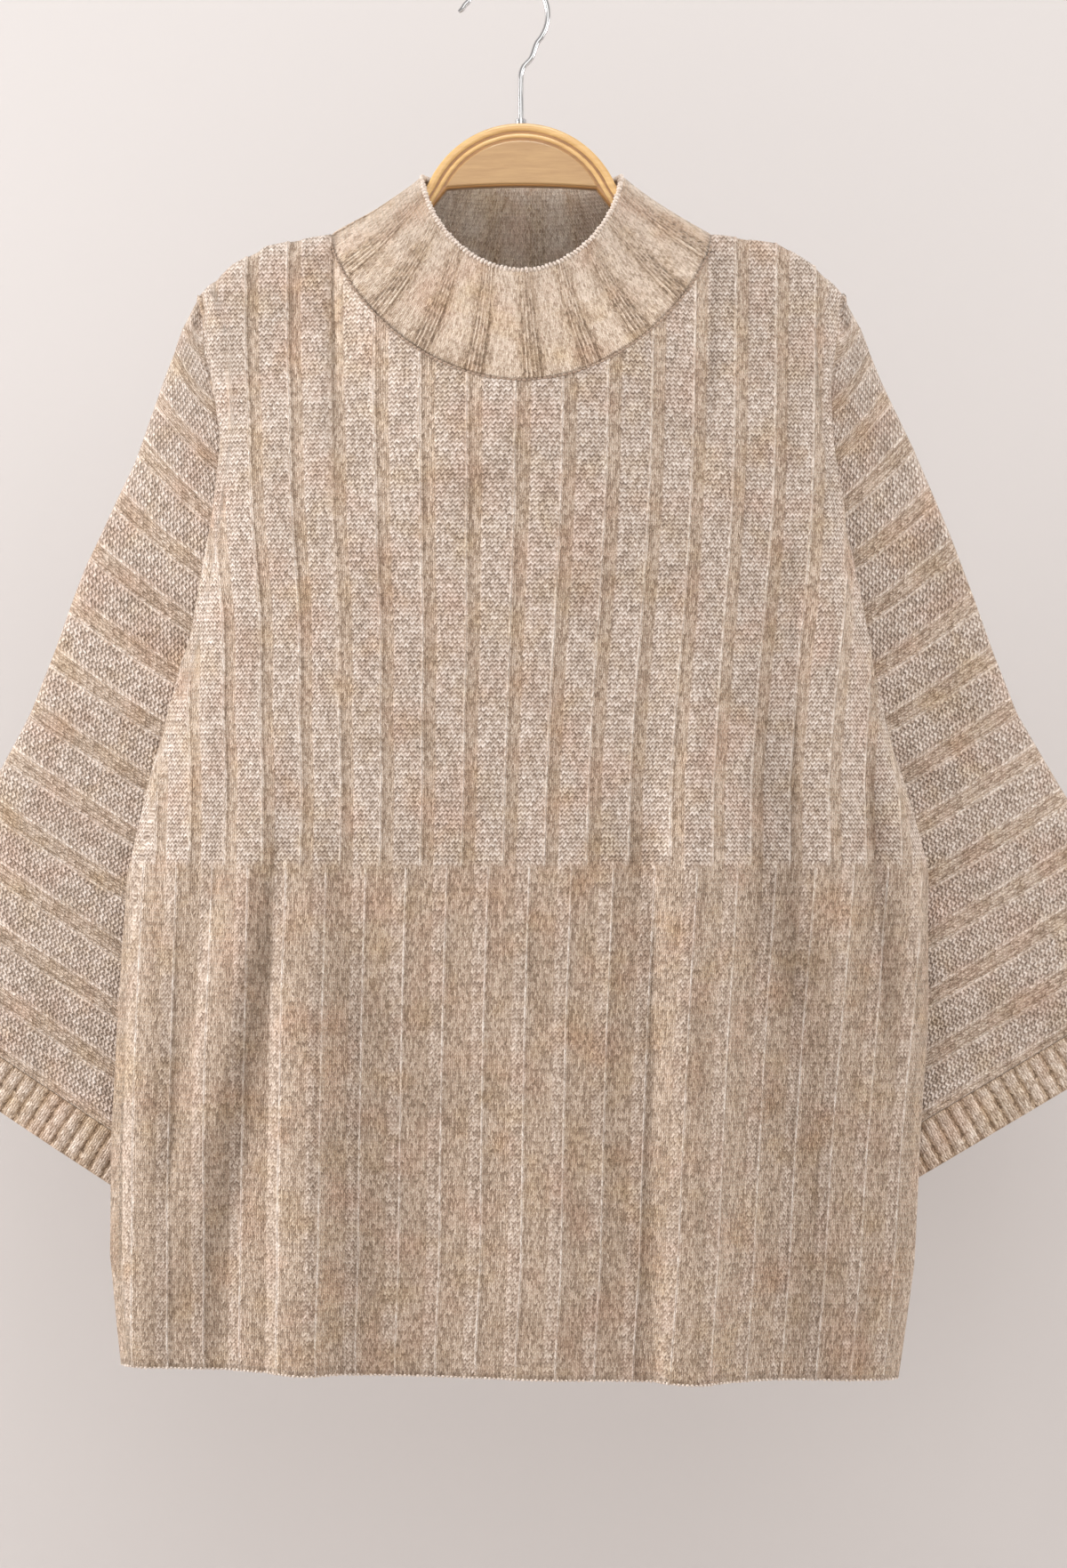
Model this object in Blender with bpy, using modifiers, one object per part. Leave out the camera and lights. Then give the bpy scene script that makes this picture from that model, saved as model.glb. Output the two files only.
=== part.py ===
"""Mock neck sweater on a wooden hanger.

The origin is the inner top of the hanger's hook, where a rail carries it. +X is to the right,
-Y towards the viewer, +Z up. Every size below is in millimetres and is turned into metres when a
mesh is made.

The sweater is a dolman cut: front and back are each knitted in one piece with their half sleeves,
so the bands of stitches run up the body, over the shoulder and then across the sleeve. A panel has
two zones that share one line of points:
  body   rows of points from hem to shoulder, one point on each band edge
  sleeve lines of points from the underarm to the overarm, three lines for each band
"""
import math

import bmesh
import bpy
import numpy as np

# ---------------------------------------------------------------- driving sizes (mm)
CENTRE_X = 9.0            # the garment hangs this far right of the hook's eye
WALL = 1.9                # knitted wall between ribs
RIB = 1.1                 # height of a raised band over the wall
SEAM = 0.3                # gap between two pieces at a seam
NECK_SEAM = 0.8           # gap between the collar and the panels

BODY_RECESS = -0.41       # band position of the first sunk strip left of centre
BAND_EASE = 0.06          # bands are this share wider at the centre than on average
BAND_LEAN = ((-832.0, -5.0), (-779.0, -2.0), (-634.0, 0.0), (-498.0, 4.0), (-277.0, 12.0),
             (-193.0, 13.0))     # by level: how far right the bands have moved
NECK_SHARES = (0.975, 1.0)       # places of the last two band edges before the neckline's end
NECK_CLEAR = 0.05         # no other band edge lies this near them, in bands
EDGE_CLEAR = 3.0          # nor this near a row's last point, in millimetres
STRIPS = 15               # bands across each sleeve
STRIPS_TO_ARMPIT = 7      # of these, the ones that start above the armpit
COLLAR_RIBS = 17
COLLAR_ROWS = (0.0, 0.12, 0.38, 0.66, 0.92, 1.0)   # rings of the collar, as shares of its height
COLLAR_WAIST = 2.5        # the collar's side curves in this far
COLLAR_FADE = 0.75        # share of the ribs' height that is lost on the way up
COLLAR_MIDDLE = (0.0, 0.0, -170.0)
CUFF_RIBS = 47
CUFF_LENGTH = 28.0
CUFF_FLARE = 0.012        # the cuff's end is this share wider
CHANGE_Z = -541.0         # below this level wide and narrow bands change places

NECK_HALF = 116.0         # half width of the neckline
NECK_Z = -157.0           # height of its ends, on the shoulders
NECK_FRONT_DROP = 94.0
NECK_BACK_DROP = 29.0
NECK_FRONT_DEPTH = 55.0
NECK_BACK_DEPTH = 46.0
TOP_HALF = 60.5           # half width of the collar's top edge
TOP_Z = -121.0
TOP_FRONT_DROP = 62.0
TOP_FRONT_DEPTH = 36.0
TOP_BACK_DEPTH = 50.0

CORNER = (195.0, -193.0)  # shoulder corner: half width and height
CORNER_BANDS = 7.2        # bands between the centre and the shoulder corner
ARMPIT = (174.0, -446.0)
RESTING = 10.5            # depth of the cloth just under the shoulder fold, over the hanger
FOLD_END = 6.0            # the last body point lies this far before the side fold
CLOSES_FROM = 0.82        # share of the way down to the armpit where front and back close up
ARMPIT_WALL = 2.2         # at the armpit's point the wall is this many times as deep
ARMPIT_LEAN = 0.2         # sideways share of the direction in which the armpit's point faces
BACK_TUCK = 24.0          # the back's side fold ends this far inside the armpit
FOLD_TO_SLEEVE = 9.0      # from the side fold to the sleeve's first point, at the shoulder
FOLD_OPENING = 15.0       # how much that distance grows down to the armpit, on the back
TURN_TUCK = 3.5           # the front's turn bulges this far towards the sleeve
TURN_PLACE, TURN_DEPTH = 0.6, 0.45     # share of the fold's own place and depth in the turn's
SLEEVE_SAG = 5.0          # a band across the sleeve hangs this far at its middle
OVERARM_ROUND, UNDERARM_ROUND = 8, 14  # how sharply the sleeve closes at its two folds
FILL_DROP = 170.0         # below the top edge the cloth takes this far to reach full depth
HEM_FALL, HEM_HALF = 4.5, 240.0        # the hem drops this much at this distance to the right
HEM_SLOPE_FROM, HEM_SLOPE_OVER = -700.0, 140.0

# The sleeve by strip, counted from the shoulder corner. middle: depth of its middle plane;
# front, back: how far the cloth lies before and behind that plane.
SLEEVE_COLUMNS = ("strip", "middle", "front", "back")
SLEEVE = (
    (0.0, 0.0, 9.5, 9.5),
    (2.0, 5.0, 9.5, 9.5),
    (4.0, 12.0, 9.5, 10.5),
    (6.0, 18.0, 4.0, 10.0),
    (7.0, 21.5, 2.0, 9.0),
    (8.0, 31.0, 3.0, 10.0),
    (9.5, 36.0, 6.0, 11.0),
    (12.0, 36.0, 11.0, 11.0),
    (15.0, 36.0, 11.0, 11.0),
)

# The body by level. left, right: distance of the visible side fold from the centre;
# bands: bands between the centre and that fold; wrap: cloth from the fold round to the side seam.
BODY_LEVELS = ("z", "left", "right", "bands", "wrap")
BODY = (
    (-193.0, 195.0, 195.0, 7.20, 0.0),
    (-230.0, 186.0, 184.0, 7.15, 4.0),
    (-283.0, 180.0, 187.0, 7.20, 11.0),
    (-338.0, 188.5, 196.0, 7.60, 21.0),
    (-392.0, 198.0, 207.0, 8.20, 31.0),
    (-446.0, 214.0, 218.0, 8.90, 41.0),
    (-489.0, 226.0, 231.0, 9.65, 31.0),
    (-543.0, 239.0, 247.0, 10.30, 28.0),
    (-634.0, 246.0, 246.0, 10.60, 27.0),
    (-716.0, 249.5, 241.0, 10.70, 27.0),
    (-779.0, 250.0, 238.0, 10.75, 26.0),
    (-846.0, 243.0, 229.0, 10.60, 26.0),
)
LOWER_ROWS = (-846.0, -780.0, -706.0, -625.0, -545.0, -538.0, -496.0, -466.0, -446.0)
UPPER_SHARES = (0.2, 0.4, 0.6, 0.8)      # rows between armpit level and the top edge
TOP_ROWS = (15.0, 6.0, 1.5, 0.0)              # the last rows, by distance below the top edge
NECK_ROWS = (16.0, 9.0, 4.5, 0.0)        # the same under the neckline
UPPER_GAP = 15.0
END_MARK = 50.0           # position mark of the last body point before a side fold

# The shoulder and overarm fold on each side: distance from the centre, and height.
OVERARM_COLUMNS = ("left", "left_z", "right", "right_z")
OVERARM = (
    (116.0, -157.0, 116.0, -157.0),
    (154.0, -163.5, 156.0, -163.0),
    (174.5, -174.5, 177.0, -175.5),
    (195.0, -193.0, 195.0, -193.0),
    (205.0, -212.0, 205.5, -212.5),
    (216.0, -240.0, 218.0, -243.0),
    (236.5, -294.0, 239.0, -285.0),
    (267.0, -357.0, 262.0, -338.0),
    (302.0, -444.0, 305.0, -446.0),
    (389.0, -612.0, 401.0, -605.0),
)
# The bands fan out from the shoulder: by strip, how far down the overarm each one ends.
FAN = ((0.0, 0.0), (2.0, 0.085), (3.5, 0.175), (4.5, 0.25), (7.0, 0.44), (9.0, 0.59), (15.0, 1.0))
CUFF_INNER = {"left": (217.0, -726.0), "right": (215.0, -716.0)}
ACROSS = (0.0, 0.035, 0.11, 0.3, 0.5, 0.7, 0.89, 0.965, 1.0)   # points across a sleeve

# Depth of the cloth at its middle, by level: front and back.
FRONT_DEPTHS = ((-846.0, 32.0), (-640.0, 36.0), (-446.0, 44.0), (-251.0, 54.0))
BACK_DEPTHS = ((-846.0, 30.0), (-640.0, 31.0), (-446.0, 38.0), (-300.0, 44.0))
# At the side folds the depth is less by this share; the front opens more above OPEN_FROM.
FRONT_CLOSE, BACK_CLOSE, FRONT_OPENS = 0.78, 0.75, 0.16
OPEN_FROM, OPEN_OVER, CLOSE_POWER = -560.0, 110.0, 2.6

# Folds that the hanging cloth makes: place (from the centre) and height of both ends, how far the
# cloth stands out (+) or in (-), and half the fold's width.
FOLD_COLUMNS = ("x0", "z0", "x1", "z1", "out", "half")
FRONT_FOLDS = (
    (-142.0, -455.0, -156.0, -860.0, 9.0, 17.0),
    (-176.0, -520.0, -178.0, -860.0, -9.0, 20.0),
    (-226.0, -520.0, -232.0, -860.0, 6.0, 20.0),
    (-60.0, -560.0, -66.0, -860.0, -5.0, 36.0),
    (74.0, -370.0, 82.0, -860.0, 8.0, 24.0),
    (150.0, -520.0, 158.0, -860.0, -9.0, 28.0),
    (215.0, -450.0, 222.0, -820.0, 6.0, 20.0),
    (10.0, -620.0, 14.0, -860.0, 4.0, 26.0),
)
BACK_FOLDS = (
    (-120.0, -430.0, -128.0, -860.0, 8.0, 24.0),
    (-40.0, -480.0, -52.0, -860.0, -6.0, 34.0),
    (38.0, -420.0, 44.0, -860.0, 8.0, 24.0),
    (118.0, -500.0, 126.0, -860.0, -7.0, 28.0),
)

# ---------------------------------------------------------------- hanger sizes (mm)
HOOK_RADIUS = 24.9        # to the middle of the wire
HOOK_WIRE = 1.7           # half the wire's thickness
HOOK_TURN = range(-42, 166, 9)         # degrees of the round part, from the neck to the tip
HOOK_NECK = ((10.0, -55.0), (15.5, -49.5))
HOOK_TIP = ((-25.6, -17.5), (-28.5, -20.5))
STEM_X = 8.5
STEM_RISES = (0.0, 6.0, 12.0, 18.0, 24.0)
WOOD_TOP = -89.6
WOOD_HALF = 5.5           # half thickness
WOOD_ROUND = 2.0
SHOULDER_CLEAR = 1.9      # from the hanger to the cloth that lies on it
ARM_WIDTH = 12.5
ARM_NARROWS = 8.0         # the arm's end is cut back this far underneath
# Points of the arms under the shoulders, and how many times the clearance they keep.
ARM_POINTS = ((116.0, 2.4), (154.0, 1.25), (174.5, 1.4), (187.0, 1.6))
# Top edge of the wood from the middle outwards, before it follows the shoulder.
WOOD_ARCH = ((0.0, -89.6), (14.6, -91.8), (30.8, -100.4), (47.0, -116.6), (57.0, -131.5),
             (68.0, -144.0), (84.0, -154.5), (104.0, -163.5))
ARCH_FOOT = 5             # from this point of the arch on, the wood has a lower edge of its own
PLATE_LOW = -129.6        # lower edge of the plate in the arch
PLATE_HALF = 45.4

COLLECTION = "mock_neck_sweater"
COLOURS = {
    "knit": ((0.62, 0.51, 0.42, 1.0), 0.95, 0.0),
    "wood": ((0.72, 0.46, 0.20, 1.0), 0.35, 0.0),
    "chrome": ((0.80, 0.80, 0.80, 1.0), 0.12, 1.0),
}


# ---------------------------------------------------------------- helpers
def column(table, names, name):
    """One named column of a table, as an array."""
    return np.array([row[names.index(name)] for row in table])


def at_level(name, z):
    """A column of the body table, read at height z."""
    heights = column(BODY, BODY_LEVELS, "z")[::-1]
    values = column(BODY, BODY_LEVELS, name)[::-1]
    return float(np.interp(z, heights, values))


def smooth(t):
    t = min(max(t, 0.0), 1.0)
    return t * t * (3.0 - 2.0 * t)


def side_name(sign):
    return "left" if sign < 0 else "right"


def band_place(band, level, spread):
    """Distance from the centre of a band position, where bands are about spread wide."""
    bands = at_level("bands", level)
    share = min(max(band / bands, -1.0), 1.0)
    levels, leans = zip(*BAND_LEAN)
    lean = float(np.interp(level, levels, leans)) * (1.0 - max(share, 0.0))
    return band * spread * (1.0 + BAND_EASE * (1.0 - share * share)) + lean


def neck_mark(sign, share):
    """The band position that meets the shoulder line at a share of the neckline's half width."""
    marks = np.linspace(1.0, CORNER_BANDS, 400) * sign
    places = [abs(band_place(m, CORNER[1], CORNER[0] / CORNER_BANDS)) for m in marks]
    return float(np.interp(NECK_HALF * share, places, marks))


def polyline_point(points, share):
    """The point at a share of a polyline's length."""
    points = np.asarray(points, dtype=float)
    run = np.concatenate(([0.0], np.cumsum(np.linalg.norm(np.diff(points, axis=0), axis=1))))
    return np.array([np.interp(share * run[-1], run, points[:, i]) for i in range(points.shape[1])])


def overarm(sign):
    """Shoulder and overarm points (distance from the centre, height) on one side."""
    side = side_name(sign)
    return np.column_stack((column(OVERARM, OVERARM_COLUMNS, side),
                            column(OVERARM, OVERARM_COLUMNS, side + "_z")))


def shoulder_height(sign, distance):
    line = overarm(sign)[:4]
    return float(np.interp(distance, line[:, 0], line[:, 1]))


def neck_point(angle):
    """Neckline seam: angle 0 at the right shoulder, 90 degrees at the back."""
    across, deep = math.cos(angle), math.sin(angle)
    if deep >= 0.0:
        depth, drop = NECK_BACK_DEPTH * deep, NECK_BACK_DROP * deep
    else:
        depth, drop = NECK_FRONT_DEPTH * deep, NECK_FRONT_DROP * (-deep) ** 1.4
    return np.array([NECK_HALF * across, depth, NECK_Z - drop])


def top_point(angle):
    """Upper edge of the collar, at the same angles."""
    across, deep = math.cos(angle), math.sin(angle)
    if deep >= 0.0:
        depth, drop = TOP_BACK_DEPTH * deep, -2.0 * deep
    else:
        depth, drop = TOP_FRONT_DEPTH * deep, TOP_FRONT_DROP * (-deep) ** 1.2
    return np.array([TOP_HALF * across, depth, TOP_Z - drop])


def neck_normal(angle):
    """Direction in which the cloth faces at the neckline seam."""
    across, deep = math.cos(angle), math.sin(angle)
    rise = math.radians(14.0 + 50.0 * across ** 10)
    flat = np.array([across / NECK_HALF, deep / NECK_FRONT_DEPTH, 0.0])
    flat /= np.linalg.norm(flat)
    return flat * math.cos(rise) + np.array([0.0, 0.0, math.sin(rise)])


def folds(table, x, z):
    """How far the folds move the cloth out at a place."""
    out = 0.0
    for row in table:
        x0, z0, x1, z1, height, half = (row[FOLD_COLUMNS.index(n)] for n in FOLD_COLUMNS)
        share = (z0 - z) / (z0 - z1)
        if share <= 0.0:
            continue
        middle = x0 + (x1 - x0) * share
        grow = smooth(share * 2.2)
        out += height * grow * math.exp(-((x - middle) / half) ** 2)
    return out


# ---------------------------------------------------------------- the draped surface
def full_depth(face, distance, z, edge):
    """Depth of the hanging cloth away from the shoulders, before its folds."""
    share = min(abs(distance) / edge, 1.0)
    close = BACK_CLOSE
    if face < 0:
        close = FRONT_CLOSE - FRONT_OPENS * smooth((z - OPEN_FROM) / OPEN_OVER)
    depth = np.interp(z, *zip(*(FRONT_DEPTHS if face < 0 else BACK_DEPTHS)))
    return float(depth) * (1.0 - close * share ** CLOSE_POWER)


def body_point(face, x, z, top_z, top_depth, edge):
    """A point of the body: x from the centre, height z, under a top edge at top_z."""
    below = max(top_z - z, 0.0)
    full = full_depth(face, x, z, edge)
    round_over = math.sqrt(1.0 - (1.0 - min(below / RESTING, 1.0)) ** 2)
    depth = top_depth + max(RESTING - top_depth, 0.0) * round_over
    depth += (full - max(top_depth, RESTING)) * smooth(below / FILL_DROP)
    table = FRONT_FOLDS if face < 0 else BACK_FOLDS
    depth += folds(table, x, z)
    return np.array([x, face * depth, z])


def sleeve_depth(name, strip):
    """A column of the sleeve's depth table, read at a strip."""
    return float(np.interp(strip, column(SLEEVE, SLEEVE_COLUMNS, "strip"),
                           column(SLEEVE, SLEEVE_COLUMNS, name)))


def side_fold(face, sign, z):
    """Distance from the centre of the line where the body turns into the sleeve."""
    if face < 0:
        return at_level(side_name(sign), z)
    share = (CORNER[1] - z) / (CORNER[1] - ARMPIT[1])
    return CORNER[0] + (ARMPIT[0] - BACK_TUCK - CORNER[0]) * share


def sleeve_line(face, sign, strip):
    """Points of one line across the sleeve, from its inner end out to the overarm."""
    outer = polyline_point(overarm(sign)[3:], np.interp(strip, *zip(*FAN)))
    middle = sleeve_depth("middle", strip)
    half = sleeve_depth("front" if face < 0 else "back", strip)
    points = []
    closing = 1.0
    if strip <= STRIPS_TO_ARMPIT:
        share = strip / STRIPS_TO_ARMPIT
        z = CORNER[1] + (ARMPIT[1] - CORNER[1]) * share
        edge = side_fold(face, sign, z)
        closing = smooth((share - CLOSES_FROM) / (1.0 - CLOSES_FROM))
        inner_depth = middle + face * half * (1.0 - closing)
        side = at_level(side_name(sign), z)
        fold_depth = body_point(face, sign * edge, z, CORNER[1], 0.0, side)[1]
        if face < 0:
            tuck = smooth(share * 1.7)
            inner = edge + FOLD_TO_SLEEVE * (1.0 - tuck) + (ARMPIT[0] - edge) * tuck
            turn = edge * TURN_PLACE + inner * (1.0 - TURN_PLACE) + TURN_TUCK * tuck
            turn_depth = fold_depth * TURN_DEPTH + inner_depth * (1.0 - TURN_DEPTH)
        else:
            inner = edge + FOLD_TO_SLEEVE + FOLD_OPENING * share
            turn = (edge + inner) * 0.5
            turn_depth = (fold_depth + inner_depth) * 0.5
        if strip == STRIPS_TO_ARMPIT:
            inner, inner_depth = ARMPIT[0], middle
        points += [(edge, fold_depth, z), (turn, turn_depth, z)]
        start = np.array([inner, z])
    else:
        share = (strip - STRIPS_TO_ARMPIT) / (STRIPS - STRIPS_TO_ARMPIT)
        start = np.array(ARMPIT) + (np.array(CUFF_INNER[side_name(sign)]) - np.array(ARMPIT)) * share
    for across in ACROSS:
        place = start + (outer - start) * across
        place[1] -= SLEEVE_SAG * math.sin(math.pi * across) * (1.0 - strip / STRIPS)
        rounded = 1.0 - across ** OVERARM_ROUND
        rounded *= 1.0 - (1.0 - across) ** UNDERARM_ROUND * closing
        depth = middle + face * half * math.sqrt(max(rounded, 0.0))
        points.append((place[0], depth, place[1]))
    return [np.array([sign * p[0], p[1], p[2]]) for p in points]


class Surface:
    """Points with their rib height, and faces that are added by stitching lines of points."""

    def __init__(self):
        self.points, self.ribs, self.faces = [], [], []

    def add(self, point, rib=0.0):
        self.points.append(np.asarray(point, dtype=float))
        self.ribs.append(rib)
        return len(self.points) - 1

    def stitch(self, low, high, split=False):
        """Fill between two lines, each a list of (position along the line, point number).

        split cuts every four-sided face the same way, so that two rims that face each other match.
        """
        i = j = 0
        while i < len(low) - 1 or j < len(high) - 1:
            step_low = i < len(low) - 1
            step_high = j < len(high) - 1
            if step_low and step_high and abs(low[i + 1][0] - high[j + 1][0]) < 1e-6:
                corners = (low[i][1], low[i + 1][1], high[j + 1][1], high[j][1])
                self.faces += [corners[:3], (*corners[2:], corners[0])] if split else [corners]
                i, j = i + 1, j + 1
            elif step_low and (not step_high or low[i + 1][0] < high[j + 1][0]):
                self.faces.append((low[i][1], low[i + 1][1], high[j][1]))
                i += 1
            else:
                self.faces.append((low[i][1], high[j + 1][1], high[j][1]))
                j += 1


def body_rib(number, z):
    """Height of a band edge: wide bands stand out above the change, narrow ones below it."""
    if number == 1:
        return RIB
    return RIB if number == 2 and z > CHANGE_Z else 0.0


def top_edge(face, x):
    """Height and depth of the panel's top edge at a place: neckline or shoulder."""
    if abs(x) >= NECK_HALF - 1e-6:
        return shoulder_height(-1 if x < 0 else 1, abs(x)), 0.0
    angle = math.acos(x / NECK_HALF)
    edge = neck_point(angle if face > 0 else -angle)
    return edge[2], abs(edge[1])


def hem_slope(x, z):
    """The hem hangs a little lower on the right."""
    return -HEM_FALL * x / HEM_HALF * smooth((HEM_SLOPE_FROM - z) / HEM_SLOPE_OVER)


def row_columns(face, level, upper):
    """Places of the points across the body: (mark, number in its band, distance from the centre).

    The two end points lie just before the side folds.
    """
    reach, spread = {}, {}
    for sign in (-1, 1):
        side = at_level(side_name(sign), level)
        pitch = side / at_level("bands", level)
        edge = side_fold(face, sign, level) if upper or face < 0 else side - at_level("wrap", level)
        if face > 0 and level == ARMPIT[1]:
            edge = side_fold(face, sign, level)
        near = smooth((level - ARMPIT[1]) / (CORNER[1] - ARMPIT[1]))
        spread[sign] = pitch + (CORNER[0] / CORNER_BANDS - pitch) * near
        reach[sign] = edge - FOLD_END
    columns = []
    for number in range(-60, 60):
        band = BODY_RECESS + number / 3.0
        place = band_place(band, level, spread[-1 if band < 0.0 else 1])
        if -reach[-1] < place - EDGE_CLEAR and place + EDGE_CLEAR < reach[1]:
            columns.append((band, number % 3, place))
    if upper:
        for sign in (-1, 1):
            near, neck = (neck_mark(sign, share) for share in NECK_SHARES)
            columns = [c for c in columns
                       if not abs(near) - NECK_CLEAR < c[0] * sign < abs(neck) + NECK_CLEAR]
            columns += [(mark, 0, band_place(mark, level, spread[sign])) for mark in (near, neck)]
        columns.sort()
    return [(-END_MARK, 0, -reach[-1])] + columns + [(END_MARK, 0, reach[1])]


def body_rows(surface, face, lines, corners):
    """All rows of body points from hem to top edge, and the two lines of their end points."""
    rows, ends = [], {-1: [], 1: []}
    plan = [("level", z) for z in LOWER_ROWS]
    plan += [("share", share) for share in UPPER_SHARES] + [("below", gap) for gap in TOP_ROWS]
    neck_gap = dict(zip(TOP_ROWS, NECK_ROWS))
    for kind, value in plan:
        upper = kind != "level"
        level = value
        if kind == "share":
            level = ARMPIT[1] + (CORNER[1] - ARMPIT[1]) * value
        elif kind == "below":
            level = CORNER[1] - value
        row = []
        for mark, number, x in row_columns(face, level, upper):
            sign = -1 if x < 0.0 else 1
            edge = at_level(side_name(sign), level)
            if level == CORNER[1] and abs(mark) == abs(neck_mark(sign, 1.0)):
                x = sign * NECK_HALF
            top_z, top_depth = (NECK_Z, 0.0) if kind == "level" else top_edge(face, x)
            z = value
            if kind == "share":
                z = ARMPIT[1] + (top_z - UPPER_GAP - ARMPIT[1]) * value
            elif kind == "below":
                z = top_z - (value if abs(x) >= NECK_HALF - 1e-6 else neck_gap[value])
            rib = body_rib(number, z) if abs(mark) < END_MARK and value != 0.0 else 0.0
            point = body_point(face, x, z, top_z, top_depth, edge)
            point[2] += hem_slope(x, z)
            row.append((mark, surface.add(point, rib)))
        if level >= ARMPIT[1]:
            ends[-1].append((level, row[0][1]))
            ends[1].append((level, row[-1][1]))
        if kind == "level":
            for sign in (-1, 1):
                tail = side_tail(surface, face, sign, level, lines)
                row = tail[::-1] + row if sign < 0 else row + tail
        elif value == 0.0:
            row = [(-END_MARK - 1.0, corners[-1])] + row + [(END_MARK + 1.0, corners[1])]
        rows.append(row)
    return rows, ends


def side_tail(surface, face, sign, level, lines):
    """Points from the side fold round to the side seam, or to the armpit."""
    marks = [sign * (END_MARK + n) for n in (1.0, 2.0, 3.0)]
    if level == ARMPIT[1]:
        return list(zip(marks, lines[sign][3 * STRIPS_TO_ARMPIT][:3]))
    edge = at_level(side_name(sign), level)
    wrap = at_level("wrap", level)
    seam = body_point(1, sign * (edge - wrap), level, NECK_Z, 0.0, edge)
    tail = [seam]
    if face < 0:
        behind = body_point(1, sign * (edge - wrap * 0.38), level, NECK_Z, 0.0, edge)
        before = body_point(-1, sign * (edge - FOLD_END), level, NECK_Z, 0.0, edge)
        turn = np.array([sign * edge, (behind[1] + before[1]) * 0.5 - 1.0, level])
        tail = [turn, behind, seam]
    for point in tail:
        point[2] += hem_slope(point[0], level)
    return list(zip(marks[-len(tail):], [surface.add(point) for point in tail]))


def line_numbers(face, step):
    """Which lines cross the sleeve. A step of 3 thins them where the cloth lies flat."""
    bent_from = 3 if face < 0 else 3 * (STRIPS_TO_ARMPIT - 2)
    bent_to = 3 * (STRIPS_TO_ARMPIT + 2)
    return [n for n in range(3, 3 * STRIPS + 1) if n % step == 0 or bent_from <= n <= bent_to]


def panel_surface(face, step=1):
    """The draped surface of the front (face -1) or back (face 1), and its edge."""
    surface = Surface()
    lines = {-1: {}, 1: {}}
    for sign in (-1, 1):
        for number in line_numbers(face, step):
            points = sleeve_line(face, sign, number / 3.0)
            first_inside = len(points) - len(ACROSS) + 2
            ribs = [RIB if number % 3 and first_inside <= k < len(points) - 1 else 0.0
                    for k in range(len(points))]
            lines[sign][number] = [surface.add(p, r) for p, r in zip(points, ribs)]
    corners = {s: surface.add((s * CORNER[0], 0.0, CORNER[1])) for s in (-1, 1)}
    rows, ends = body_rows(surface, face, lines, corners)
    for k, (low, high) in enumerate(zip(rows, rows[1:])):
        if k >= len(LOWER_ROWS) - 1:
            low, high = [[point for point in row if abs(point[0]) <= END_MARK]
                         for row in (low, high)]
        surface.stitch(low, high)
    armpit_line = 3 * STRIPS_TO_ARMPIT
    for sign in (-1, 1):
        upper = sorted(n for n in lines[sign] if n <= armpit_line)
        lower = sorted(n for n in lines[sign] if n >= armpit_line)
        fold_line = [(-n / armpit_line, lines[sign][n][0]) for n in reversed(upper)]
        fold_line.append((0.0, corners[sign]))
        low_z, high_z = ends[sign][0][0], ends[sign][-1][0]
        end_line = [((z - low_z) / (high_z - low_z) - 1.0, v) for z, v in ends[sign]]
        surface.stitch(fold_line, end_line)
        surface.stitch(list(enumerate(lines[sign][upper[0]])), [(0, corners[sign])])
        for a, b in zip(upper, upper[1:]):
            surface.stitch(list(enumerate(lines[sign][b])), list(enumerate(lines[sign][a])))
        for a, b in zip(lower, lower[1:]):
            inner, outer = lines[sign][a][-len(ACROSS):], lines[sign][b][-len(ACROSS):]
            surface.stitch(list(enumerate(outer)), list(enumerate(inner)))
    return surface, panel_edge(rows, lines)


def panel_edge(rows, lines):
    """The panel's edge, once round from the left end of the hem: (kind, position, point)."""
    armpit_line = 3 * STRIPS_TO_ARMPIT
    last = 3 * STRIPS
    edge = [("hem", v) for _, v in rows[0]]
    levels = len(LOWER_ROWS)
    edge += [("seam", row[-1][1]) for row in rows[1:levels]]
    right = [n for n in sorted(lines[1]) if n > armpit_line]
    edge += [("seam", lines[1][n][-len(ACROSS)]) for n in right]
    edge += [("cuff", v) for v in lines[1][last][-len(ACROSS) + 1:-1]]
    edge += [("seam", lines[1][n][-1]) for n in sorted(lines[1], reverse=True)]
    edge += [("top", v) for _, v in reversed(rows[-1])]
    edge += [("seam", lines[-1][n][-1]) for n in sorted(lines[-1])]
    edge += [("cuff", v) for v in reversed(lines[-1][last][-len(ACROSS) + 1:-1])]
    left = [n for n in sorted(lines[-1], reverse=True) if n > armpit_line]
    edge += [("seam", lines[-1][n][-len(ACROSS)]) for n in left]
    edge += [("seam", row[0][1]) for row in reversed(rows[1:levels])]
    return edge


# ---------------------------------------------------------------- walls
def key(point):
    """A place as a dictionary key."""
    return tuple(np.round(point, 3))


def surface_normals(surface, toward):
    """Vertex normals of an open surface whose first row faces the direction toward."""
    mesh = bmesh.new()
    verts = [mesh.verts.new(p) for p in surface.points]
    mesh.verts.index_update()
    for face in surface.faces:
        mesh.faces.new([verts[i] for i in face])
    bmesh.ops.recalc_face_normals(mesh, faces=mesh.faces)
    mesh.normal_update()
    normals = np.array([tuple(v.normal) for v in mesh.verts])
    middle = min(range(len(verts)), key=lambda i: abs(verts[i].co.x) + abs(verts[i].co.z + 700.0))
    if np.dot(normals[middle], toward) < 0.0:
        normals = -normals
    neighbours = [[e.other_vert(v).index for e in v.link_edges] for v in mesh.verts]
    mesh.free()
    return normals, neighbours


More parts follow.
